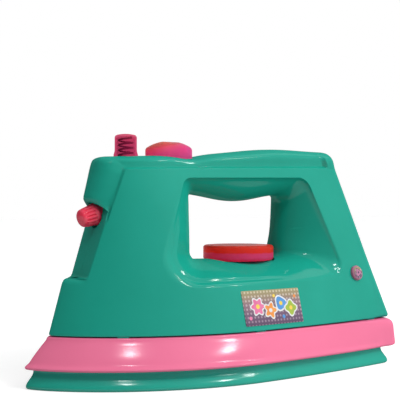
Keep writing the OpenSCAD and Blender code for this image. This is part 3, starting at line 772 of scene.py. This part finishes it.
GROUND = [
    (0.0, (0.082, 0.047, 0.098)),
    (0.3, (0.15, 0.08, 0.15)),
    (0.62, (0.26, 0.155, 0.185)),
    (0.85, (0.32, 0.25, 0.145)),
    (1.0, (0.34, 0.30, 0.145)),
]
DOTS = [(0.0, (0.24, 0.17, 0.25)), (0.6, (0.50, 0.39, 0.42)), (1.0, (0.62, 0.56, 0.38))]


def dotted_print(name, low, high):
    """A dotted ground that goes from plum at the foot to straw at the top."""
    material, tree, shader, where = start_material(name)
    height = spread(tree, axes(tree, where)["Z"], low * MM, high * MM, 0, 1)
    both = node(tree, "ShaderNodeMix", data_type="RGBA")
    put(tree, dots(tree, where, 1.95 * MM, 0.27), both.inputs["Factor"])
    put(tree, ramp(tree, height, GROUND), both.inputs["A"])
    put(tree, ramp(tree, height, DOTS), both.inputs["B"])
    put(tree, both.outputs["Result"], shader.inputs["Base Color"])
    put(tree, blotch(tree, where, 500, 0.3, 0.42), shader.inputs["Roughness"])
    return material


def ink(name, light, deep):
    material, tree, shader, where = start_material(name)
    colour = ramp(tree, noise(tree, where, 260), [(0.35, deep), (0.65, light)])
    put(tree, colour, shader.inputs["Base Color"])
    put(tree, 0.36, shader.inputs["Roughness"])
    return material


# The pieces


def tongue(start, stop):
    """A low tongue along the parting edge that reaches into the other half and keeps light out."""
    high, under = 0.6, 0.7
    rows = [mix(start, stop, 0.35), mix(start, stop, 0.7)]
    for line in rows:
        line[:, 1] = high
        at_ledge = (line[:, 0] < LIP_FROM) & (np.abs(line[:, 2] - LEDGE_Z) < under)
        line[at_ledge, 2] = LEDGE_Z - under
    return rows


def half_housing(name, node_name, sign, green):
    """One half of the hollow body; sign -1 is the labelled side."""
    outside, inside = outer_rows(), inner_rows()
    rows = outside + inside
    if sign < 0:
        over, under = tongue(outside[-1], inside[0]), tongue(inside[-1], outside[0])
        rows = outside + over + inside + under
    points = np.concatenate(rows)
    points[:, 1] *= -sign
    shell = new_piece(name, points, faces=ring_quads(len(rows), COL[-1], True))
    clean(shell, 2e-6)
    low, high = 100.0, 125.0
    steam = bar(6.24, low, high, (STEAM_X, 0, 0))
    spray = loft("cutter", [key_ring(25.2, 17.2, low), key_ring(25.2, 17.2, high)])
    socket = bar(6.2, 0.0, 22.0, NOZZLE_AT, nozzle_turn())
    seat = bar(19.1, 55.132, 66.0, (DIAL_X, 0, 0), steps=128)
    tools = [steam, spray, socket, seat]
    if sign > 0:
        tools += [bar(BOSS_R, BOSS_FLOOR, 60.0, (x, 0, z), to_right(), 48) for x, z in BOSSES]
    cut(shell, tools)
    finish_piece(shell, green, node_name)


def steam_well(green):
    """The pocket that the steam button goes down into."""
    profile = [(0, 94.32), (7.23, 94.32), (7.23, 103.76), (6.24, 103.76), (6.24, 106.6)]
    well = lathe("steam_well", profile, 72, (STEAM_X, 0, 0))
    edit(well, lambda: bpy.ops.mesh.flip_normals())
    finish_piece(well, green)


def screw_bosses(green):
    """The tubes that the housing screws sit in, seen through the holes of the right side."""
    made = []
    hole, wide, low = 1.3, 4.0, 5.0
    for x, z in BOSSES:
        deep = float(min(side_w(x - wide, z + wide), side_w(x + wide, z + wide))) - 0.9
        profile = [(hole, BOSS_FLOOR), (BOSS_R, BOSS_FLOOR), (BOSS_R, deep), (wide, deep)]
        profile += [(wide, low), (hole, low), (hole, BOSS_FLOOR)]
        made.append(lathe("screw_bosses", profile, 48, (x, 0, z), to_right()))
    finish_piece(join(made), green)


def foot_tabs(green):
    """The tabs under the shells that drop into the skirt's top edge."""
    made = []
    for x in (-61.0, 4.0, 81.0):
        for sign in (-1, 1):
            y = sign * (float(side_w(x, FOOT_Z)) - 1.75)
            bpy.ops.mesh.primitive_cube_add(size=1, location=(x * MM, y * MM, 23.3 * MM))
            tab = bpy.context.object
            tab.name = tab.data.name = "foot_tabs"
            tab.scale = (5.6 * MM, 1.8 * MM, 2.2 * MM)
            slope = float(side_w(x + 1, FOOT_Z) - side_w(x - 1, FOOT_Z)) / 2
            tab.rotation_euler = (0, 0, sign * math.atan(slope))
            bpy.ops.object.transform_apply(location=True, rotation=True, scale=True)
            round_edges = tab.modifiers.new("round", "BEVEL")
            round_edges.width, round_edges.segments = 0.3 * MM, 2
            bpy.ops.object.modifier_apply(modifier="round")
            made.append(tab)
    finish_piece(join(made), green)


def plan_ring(nose, heel, w, z, heel_more=0.0, heel_less=0.0):
    """A level line round the skirt or the sole, in the shape of an iron's base."""
    n = 110
    x = mix(nose, heel, (1 - np.cos(np.pi * np.arange(n + 1) / n)) / 2)
    w = w + heel_more * smooth((x - 35) / 60) - heel_less * smooth((x - 70) / 24)
    fill = (1 - (1 - np.clip((x - nose) / 100, 0, 1)) ** 2) ** 0.78
    y = w * fill * round_in(heel - x, 10.0, 3) * heel_slim(x)
    xs, ys = np.concatenate([x, x[-2:0:-1]]), np.concatenate([y, -y[-2:0:-1]])
    return np.stack([xs, ys, np.full(len(xs), z)], 1)


SKIRT_LOW, SKIRT_WIDEST, SKIRT_BEND, SKIRT_TOP = 9.0, 10.2, 22.0, 23.2


def skirt_ring(z, inset):
    """The skirt at a height; its heel end is rounded above and below and has no lip."""
    up = np.clip((z - SKIRT_WIDEST) / (SKIRT_BEND - SKIRT_WIDEST), 0, 1)
    bulge = 4 * up * (1 - up)
    nose, w = mix(-100, -89.5, up), mix(47.45, 41.6, up)
    heel = mix(100, 99.3, up) + 0.3 * bulge - 0.3
    less = 0.75 * quarter(SKIRT_TOP - z, 3.4) + 0.5 * quarter(z - SKIRT_LOW, 2.0)
    less -= min(inset, 0.5) if 10.3 < z < 21.0 else 0.0
    heel = heel - inset + 0.3 * (1 - bulge) - less
    return plan_ring(nose + inset * 1.3, heel, w - inset, z, 4.6 * up, less)


def skirt(pink):
    low_edge, top_edge = np.radians((10, 35, 60, 80, 90)), np.radians((0, 25, 50, 72, 90))
    outside = [(1.5, SKIRT_LOW)]
    outside += [(1.0 - math.sin(a), 10.1 - 1.1 * math.cos(a)) for a in low_edge]
    outside += [(0.12, 10.6), (0.36, 11.1), (0.48, 11.6), (0.45, 12.2), (0.3, 13.2)]
    outside += [(0.15, 14.6), (0.05, 16.2), (0.0, 18.0), (0.0, 20.0), (0.0, 21.6)]
    outside += [(0.06 + 0.75 * (1 - math.cos(a)), 22.35 + 0.85 * math.sin(a)) for a in top_edge]
    inside = [(4.4, SKIRT_TOP), (14, SKIRT_TOP), (14, 21.2), (4.4, 21.2), (4.4, SKIRT_LOW)]
    rings = [skirt_ring(z, inset) for inset, z in outside + inside]
    whole = loft("flared_skirt", rings, wrap=True)
    finish_piece(whole, pink, "skirt", 40)


def soleplate(green):
    edge = [(14, 0), (5, 0), (1.6, 0), (1.1, 0.03), (0.7, 0.16), (0.35, 0.42), (0.1, 0.8)]
    edge += [(0.0, 1.26), (0.08, 1.8), (0.26, 2.35), (0.55, 3.0), (1.02, 3.8), (1.53, 4.6)]
    edge += [(2.02, 5.4), (2.42, 6.2), (2.68, 7.0), (2.8, 7.8), (2.8, 9.0), (9, 9.0)]
    rings = [plan_ring(-99.5 + 1.3 * inset, 95.2 - inset, 46.075 - inset, z) for inset, z in edge]
    plate = loft("sole_plate", rings)
    cut(plate, [bar(BOSS_R, -1.0, 2.18, (x, y, 0), steps=48) for x, y in SOLE_SCREWS])
    finish_piece(plate, green, "soleplate", 40)


def steam_button(material):
    """A hollow cap on a wider foot, with a flange that holds it in the housing."""
    low, flange, bore = 102.27, 103.71, 4.5
    outside = [(bore, low), (6.93, low), (6.93, flange), (5.94, flange), (5.94, 108.2)]
    outside += [(5.9, 108.7), (5.74, 109.3), (5.55, 109.9), (5.44, 110.5), (5.4, 111.2)]
    outside += [(5.4, 114.0)] + arc(3.96, 116.89, 1.44, 0, 72, 7)
    outside += [(3.2, 118.5), (1.6, 118.7), (0, 118.758)]
    inside = [(0, 117.5), (3.4, 117.44), (4.1, 117.2), (bore, 116.6), (bore, low)]
    cap = lathe("steam_cap", outside + inside, 96, (STEAM_X, 0, 0))
    finish_piece(cap, material, "steam_button", 40, "steam_key")


def spray_button(material):
    """A long key with round ends and a crown that is part of a ball, on a flange."""
    length, width, crown, edge = 24.6, 16.6, 4.1, 0.8
    side_top, reach, flange = 112.145, 12.3, 2.0
    ball = (reach**2 + crown**2) / (2 * crown)
    centre = side_top + crown - ball

    def dome(inset, drop_by=0.0):
        ring = key_ring(length - 2 * inset, width - 2 * inset, 0.0)
        off = (ring[:, 0] - SPRAY_X) ** 2
        ring[:, 2] = centre + np.sqrt(ball**2 - off - ring[:, 1] ** 2) - drop_by
        return ring

    rings = [key_ring(length + flange, width + flange, z) for z in (102.25, 103.69)]
    rings += [key_ring(length, width, z) for z in (103.7, 108.0)]
    for a in np.radians((0, 18, 36, 54, 72, 90)):
        rings.append(dome(edge * (1 - math.cos(a)), edge * (1 - math.sin(a))))
    rings += [dome(inset) for inset in (1.4, 2.2, 3.2, 4.4, 5.6, 6.8, 7.8)]
    key = loft("spray_key_top", rings)
    finish_piece(key, material, "spray_button", 40, "spray_key")


def coil(name, node_name, x, r, low, high, turns, material, joint, travel):
    """A wound wire with straight ends, from floor to roof."""
    wire_r, lead, per_turn = 0.46, 0.8, 28
    n = int(turns * per_turn)
    a = np.linspace(0, 2 * np.pi * turns, n + 1)
    height = np.linspace(low + lead, high - lead, n + 1)
    path = np.stack([r * np.cos(a), r * np.sin(a), height], 1)
    path = np.concatenate([[[r, 0, low]], path, [[path[-1, 0], path[-1, 1], high]]])
    ahead = np.gradient(path, axis=0)
    ahead[0] = ahead[-1] = (0, 0, 1)
    ahead /= np.linalg.norm(ahead, axis=1)[:, None]
    side = np.cross(path * (1, 1, 0) / r, ahead)
    side /= np.linalg.norm(side, axis=1)[:, None]
    out = np.cross(ahead, side)
    turn = (np.arange(12) * np.pi / 6)[:, None]
    rings = [p + wire_r * (np.cos(turn) * o + np.sin(turn) * s) for p, o, s in zip(path, out, side)]
    wire = place(loft(name, rings), (x, 0, 0))
    finish_piece(wire, material, node_name, 50)
    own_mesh(wire)


def dial(material):
    profile = [(0, 46.95), (4.07, 46.95), (4.07, 55.482)] + arc(16.74, 57.242, 1.76, -90, 0, 8)
    profile += arc(17.1, 62.032, 1.4, 0, 90, 8) + [(16.2, 63.4), (8, 63.42), (0, 63.432)]
    disc = lathe("dial_disc", profile, 160, (DIAL_X, 0, 0))
    finish_piece(disc, material, "temperature_dial", 40, "dial")


def nozzle(material):
    """A fluted cone with a smooth rounded tip, on a smooth collar with a shank and a flange."""
    flutes, deep, n = 15, 0.85, 192
    # radius, place along the axis and share of the flutes' depth
    profile = [(0.02, -6.7, 0), (6.2, -6.7, 0), (6.2, -5.25, 0), (4.37, -5.25, 0)]
    profile += [(4.37, 0.05, 0), (5.1, 0.06, 0), (5.28, 0.12, 0), (5.36, 0.3, 0), (5.3, 1.3, 0)]
    profile += [(5.2, 1.75, 0.05), (5.05, 2.0, 0.5), (4.95, 2.2, 0.9), (4.86, 2.9, 1)]
    profile += [(4.76, 3.9, 1), (4.64, 5.0, 1), (4.54, 5.9, 1), (4.46, 6.5, 0.8), (4.4, 6.9, 0.3)]
    tip = np.radians(np.arange(0, 90, 10))
    profile += [(4.36 * math.cos(t), 7.2 + 2.6 * math.sin(t), 0) for t in tip] + [(0.02, 9.8, 0)]
    a = np.arange(n) * 2 * np.pi / n
    flute = deep * (np.abs(np.cos(flutes / 2 * a)) ** 0.6 - 0.85)
    rings = []
    for r, z, share in profile:
        r = r + flute * share
        rings.append(np.stack([r * np.cos(a), r * np.sin(a), np.full(n, z)], 1))
    whole = place(loft("nozzle_tip", rings), NOZZLE_AT, nozzle_turn())
    finish_piece(whole, material, "spray_nozzle", 50, "nozzle")


def side_cap(material):
    profile = [(0, -4), (2.18, -4), (2.18, 0.06), (3.9, 0.06)]
    profile += arc(3.2, 0.86, 0.7, 0, 90, 8) + [(0, 1.56)]
    cap = lathe("round_cap", profile, 72, cap_seat(), cap_turn())
    finish_piece(cap, material, "side_cap", 40)


def cap_sticker(material):
    profile = [(0, 1.56), (3.05, 1.56), (3.12, 1.62), (3.05, 1.8), (0, 1.81)]
    disc = lathe("cap_print_disc", profile, 72, cap_seat(), cap_turn())
    finish_piece(disc, material, "side_cap_sticker", 40)


def on_cap(u, v, lift):
    """A point on the face of the side cap's sticker, u and v measured from its middle."""
    face = np.stack([-v, u, np.full(np.shape(u), CAP_FACE + lift)], -1)
    return face @ np.array(cap_turn()).T + cap_seat()


def on_label(u, v, lift):
    """A point on the label's face, u and v measured from its middle."""
    x, z = LABEL_AT[0] + u, LABEL_AT[1] + v
    return np.stack([x, -side_w(x, z) - LABEL_THICK - lift, z], -1)


def label(material):
    """A thin printed plate that follows the side, with slightly rounded edges."""
    rings = []
    half, rim = np.array(LABEL_SIZE) / 2, 0.14
    for inset, lift in ((0, -0.27), (0, -0.08), (0.05, -0.02), (rim, 0.0)):
        outline = four_sided(OUTWARD * (half - inset), (0.5,) * 4, [parts_of(30)[:-1]] * 4)
        rings.append(on_label(outline[:, 0], outline[:, 1], lift))
    plate = loft("label_plate", rings, caps=False)
    n, m = 61, 31
    us, vs = (np.linspace(rim - h, h - rim, k) for h, k in zip(half, (n, m)))
    grid = on_label(*np.meshgrid(us, vs), 0.0).reshape(-1, 3)
    first = [r * n + c for r in range(m - 1) for c in range(n - 1)]
    face = new_piece("face", grid, faces=[(k, k + 1, k + n + 1, k + n) for k in first])
    clean(join([plate, face]), 1e-7)
    finish_piece(plate, material, "label_sticker", 40)


def printed(name, outline, material, lift, on=on_label):
    """A flat printed shape on the label, or on the cap's sticker."""
    points = on(outline[:, 0], outline[:, 1], lift)
    middle = on(outline[:, :1].mean(0), outline[:, 1:].mean(0), lift)
    n = len(points)
    faces = [(k, (k + 1) % n, n) for k in range(n)]
    finish_piece(new_piece(name, np.concatenate([points, middle]), faces=faces), material)


def round_shape(u, v, r, petals=0, depth=0.0, grow=0.0, n=96):
    a = np.arange(n) * 2 * np.pi / n
    size = r * (1 + depth * np.cos(petals * a)) + grow
    return np.stack([u + size * np.cos(a), v + size * np.sin(a)], 1)


INKS = {
    "dark": ((0.10, 0.07, 0.12), (0.08, 0.05, 0.10)),
    "white": ((0.82, 0.82, 0.82), (0.74, 0.74, 0.75)),
    "rose": ((0.80, 0.20, 0.38), (0.70, 0.14, 0.32)),
    "amber": ((0.88, 0.36, 0.07), (0.80, 0.27, 0.05)),
    "sky": ((0.10, 0.34, 0.72), (0.07, 0.27, 0.62)),
    "lime": ((0.42, 0.56, 0.06), (0.34, 0.47, 0.05)),
    "lemon": ((0.90, 0.66, 0.10), (0.84, 0.58, 0.08)),
    "leaf": ((0.55, 0.22, 0.36), (0.47, 0.18, 0.31)),
}
# name, (place, radius, lobes and their depth), colours of the shape and of its heart
MOTIFS = (
    ("daisy", (-9.4, 0.6, 3.3, 6, 0.20), "rose", "lemon"),
    ("cloud", (5.0, 1.5, 3.0, 3, 0.13), "sky", "lemon"),
    ("star", (-2.0, -1.5, 2.9, 5, 0.26), "amber", "white"),
    ("clover", (10.9, -1.0, 3.0, 4, 0.18), "lime", "lemon"),
)
BEADS = (
    ((1.4, 5.2, 0.8), "lemon"),
    ((-14.6, -4.6, 0.9), "rose"),
    ((14.4, 4.4, 0.8), "amber"),
    ((5.6, -4.9, 0.9), "sky"),
)
CAP_LEAF = (0.1, 0.0, 1.75, 3, 0.22)


def motifs():
    """A row of plain garden shapes, each with a white border and a thin dark line round it.

    The cap's sticker has a three-lobed leaf.
    """
    inks = {name: ink(name + "_ink", *shades) for name, shades in INKS.items()}
    for k, (name, shape, colour, heart) in enumerate(MOTIFS):
        lift = 0.02 + 0.012 * k
        middle = (*shape[:2], shape[2] * 0.34)
        printed(name + "_line", round_shape(*shape, grow=1.0), inks["dark"], lift)
        printed(name + "_border", round_shape(*shape, grow=0.8), inks["white"], lift + 0.015)
        printed(name + "_fill", round_shape(*shape), inks[colour], lift + 0.03)
        printed(name + "_heart", round_shape(*middle), inks[heart], lift + 0.045)
    for k, (spot, colour) in enumerate(BEADS):
        printed("bead_%d" % k, round_shape(*spot, n=32), inks[colour], 0.03)
    printed("cap_leaf_line", round_shape(*CAP_LEAF, grow=0.35), inks["dark"], 0.02, on_cap)
    printed("cap_leaf_fill", round_shape(*CAP_LEAF), inks["leaf"], 0.035, on_cap)
    printed("cap_leaf_heart", round_shape(*CAP_LEAF[:2], 0.6), inks["dark"], 0.05, on_cap)


# the steam button's orange top is painted glow
BUTTON_PINKS_PAINTED_GLOW = [
    (0.0, (0.72, 0.045, 0.20)),
    (0.5, (0.74, 0.05, 0.21)),
    (0.82, (0.84, 0.06, 0.17)),
    (1.0, (0.95, 0.13, 0.07)),
]
# the spray key's orange top is painted glow
KEY_MAUVES_PAINTED_GLOW = [
    (0.0, (0.90, 0.17, 0.52)),
    (0.40, (0.90, 0.17, 0.49)),
    (0.66, (0.93, 0.20, 0.40)),
    (0.84, (0.97, 0.22, 0.22)),
    (1.0, (0.98, 0.27, 0.13)),
]
# the dial's red-orange upper half is painted glow over its magenta
DIAL_REDS_PAINTED_GLOW = [
    (0.0, (0.70, 0.08, 0.26)),
    (0.25, (0.86, 0.13, 0.42)),
    (0.47, (0.88, 0.13, 0.40)),
    (0.56, (0.92, 0.085, 0.06)),
    (1.0, (0.95, 0.12, 0.07)),
]
# the nozzle is painted lighter towards its collar, painted light on the part that the brow shades
NOZZLE_ROSE_PAINTED_LIGHT = [(0.0, (0.80, 0.04, 0.09)), (1.0, (0.93, 0.06, 0.12))]


def housing():
    """The body, its base and what is fixed inside."""
    green = moulded_plastic("green_plastic", (0.012, 0.365, 0.270), (0.010, 0.345, 0.252), 0.0)
    even_gloss(green, 0.022, 0.12)
    sole_green = moulded_plastic("sole_plastic", (0.016, 0.40, 0.298), (0.014, 0.38, 0.282), 0.0)
    even_gloss(sole_green, 0.026, 0.14)
    pink = moulded_plastic("pink_plastic", (0.92, 0.20, 0.355), (0.89, 0.185, 0.335), 0.0)
    even_gloss(pink, 0.026, 0.16)
    half_housing("left_half", "left_shell", -1, green)
    half_housing("right_half", "right_shell", 1, green)
    steam_well(green)
    screw_bosses(green)
    foot_tabs(green)
    skirt(pink)
    soleplate(sole_green)


def keys_and_springs():
    film = clear_plastic("button_plastic", BUTTON_PINKS_PAINTED_GLOW, (108, 118.8), 0.12, 0.06)
    tinted_film(film, (0.92, 0.88, 0.90), (0.80, 0.27, 0.41), 0.84, STEAM_X, 5.2, 112.5)
    steam_button(film)
    # the lean of -0.22 paints the key's left end more orange, a painted glow
    mauve = clear_plastic("key_plastic", KEY_MAUVES_PAINTED_GLOW, (113.3, 121.6), 0.16, 0.2, -0.22, 0.6, 0.02)
    spray_button(milky(mauve, 0.7))
    wire = metal("wire", (0.05, 0.04, 0.05), (0.11, 0.10, 0.11), (900, 700), (0.28, 0.42), 0.9)
    steam = (STEAM_X, 3.456, 94.3182, 117.498, 8.808)
    coil("steam_coil", "steam_spring", *steam, wire, "steam_press", 4.0)
    spray = (SPRAY_X, 3.984, 97.3051, 111.245, 5.037)
    coil("spray_coil", "spray_spring", *spray, wire, "spray_press", 3.0)


def dial_and_nozzle():
    red = clear_plastic("dial_plastic", DIAL_REDS_PAINTED_GLOW, (55.5, 63.4), 0.16, 0.2, 0.0, 0.6, 0.02)
    dial(milky(red, 0.7))
    rose = clear_plastic("nozzle_plastic", NOZZLE_ROSE_PAINTED_LIGHT, (70, 86), 0.3, 0.0, 0.0, 0.4, 0.003)
    nozzle(even_gloss(rose, 0.036, 0.10))


def trim():
    """The round cap, both stickers and the steel of the screws and the clip."""
    side_cap(moulded_plastic("cap_plastic", (0.46, 0.17, 0.27), (0.41, 0.15, 0.24), 0.25))
    cap_sticker(dotted_print("cap_ink", 44.8, 51.2))
    label(dotted_print("label_ink", 26.4, 42.7))
    motifs()
    steel = metal("plated", (0.42, 0.42, 0.42), (0.58, 0.57, 0.55), (500, 900), (0.25, 0.4), 1.0)
    for name in ("shell_screws", "sole_screws", "dial_clip"):
        piece = frame["nodes"][name]
        piece.data.materials.clear()
        piece.data.materials.append(steel)


# Floor, light and camera


def seen_directly(tree):
    """1 for what the camera sees, also in a reflection or through clear plastic, else 0."""
    path = tree.nodes.new("ShaderNodeLightPath").outputs
    shine = maths(tree, "MAXIMUM", path["Is Camera Ray"], path["Is Glossy Ray"])
    return maths(tree, "MAXIMUM", shine, path["Is Transmission Ray"])


def stage_floor():
    """White paper that keeps the toy's shadow; light that bounces from it is a grey table's."""
    bpy.ops.mesh.primitive_plane_add(size=12, location=(0, 0, 0))
    floor = bpy.context.object
    floor.name = "floor"
    material, tree, paper, where = start_material("paper")
    greys = [(0.3, (0.64, 0.64, 0.64)), (0.7, (0.66, 0.66, 0.66))]
    put(tree, ramp(tree, noise(tree, where, 3), greys), paper.inputs["Base Color"])
    put(tree, 0.9, paper.inputs["Roughness"])
    put(tree, 0.0, paper.inputs["Specular IOR Level"])
    glow = node(tree, "ShaderNodeEmission", Strength=0.62)
    white = tree.nodes.new("ShaderNodeAddShader")
    put(tree, paper.outputs["BSDF"], white.inputs[0])
    put(tree, glow.outputs["Emission"], white.inputs[1])
    table = node(tree, "ShaderNodeBsdfDiffuse", Color=(0.68, 0.68, 0.68, 1))
    mix_shaders(tree, seen_directly(tree), table.outputs["BSDF"], white.outputs["Shader"])
    floor.data.materials.append(material)


def world():
    """White to the camera, dim in the light it gives, darker towards the nose in reflections."""
    room = bpy.data.worlds.new("studio")
    bpy.context.scene.world = room
    room.use_nodes = True
    tree = room.node_tree
    dim = tree.nodes["Background"]
    put(tree, (0.10, 0.10, 0.104, 1), dim.inputs["Color"])
    put(tree, 1.0, dim.inputs["Strength"])
    ahead = axes(tree, tree.nodes.new("ShaderNodeTexCoord").outputs["Generated"])["X"]
    level = node(tree, "ShaderNodeMix", data_type="FLOAT", A=1.0)
    shine = tree.nodes.new("ShaderNodeLightPath").outputs["Is Glossy Ray"]
    put(tree, shine, level.inputs["Factor"])
    put(tree, spread(tree, ahead, -0.7, 0.6, 0.2, 1.0), level.inputs["B"])
    white = node(tree, "ShaderNodeBackground", Color=(1, 1, 1, 1))
    put(tree, level.outputs["Result"], white.inputs["Strength"])
    both = dim.outputs["Background"], white.outputs["Background"]
    mix_shaders(tree, seen_directly(tree), *both, "World Output")


def new_lamp(name, kind, away):
    """A lamp that shines from a direction towards the toy."""
    data = bpy.data.lights.new(name, kind)
    lamp = bpy.data.objects.new(name, data)
    bpy.context.scene.collection.objects.link(lamp)
    lamp.rotation_mode = "QUATERNION"
    lamp.rotation_quaternion = (-away).to_track_quat("-Z", "Y")
    return lamp, data


def softbox(name, turn, climb, size, shine):
    """A round lamp at a turn and climb in degrees from the toy's middle, of a given brightness."""
    t, c = math.radians(turn), math.radians(climb)
    away = Vector((math.cos(c) * math.cos(t), math.cos(c) * math.sin(t), math.sin(c)))
    lamp, data = new_lamp(name, "AREA", away)
    data.shape, data.size = "DISK", size
    data.energy = shine * math.pi**2 * size * size / 4
    lamp.location = Vector((0, 0, 0.05)) + away * 1.1


def wide_light(name, come_from, strength, spread_angle):
    """Even light from a wide patch of sky that leaves no shine of its own."""
    lamp, data = new_lamp(name, "SUN", Vector(come_from))
    data.energy, data.angle = strength, math.radians(spread_angle)
    lamp.visible_glossy = False


def lamps():
    wide_light("key", (0.50, -0.80, 0.62), 1.57, 60)
    wide_light("top", (-0.25, 0.1, 1.0), 0.7, 80)
    softbox("left_lamp", -121, 53, 0.08, 80)
    softbox("right_lamp", -66, 41, 0.10, 78)
    softbox("heel_lamp", -47, 41, 0.10, 42)
    softbox("rear_lamp", 0, 56, 0.55, 1.3)


def camera():
    data = bpy.data.cameras.new("camera")
    data.lens, data.sensor_width, data.shift_y = 77.7, 36.0, 0.02175
    cam = bpy.data.objects.new("camera", data)
    bpy.context.scene.collection.objects.link(cam)
    cam.location = (-0.2415, -0.3751, 0.0824)
    cam.rotation_mode = "QUATERNION"
    cam.rotation_quaternion = Vector((0.532, 0.8467, 0)).to_track_quat("-Z", "Y")
    bpy.context.scene.camera = cam


housing()
keys_and_springs()
dial_and_nozzle()
trim()
stage_floor()
world()
lamps()
camera()
bpy.context.scene.view_settings.view_transform = "Standard"
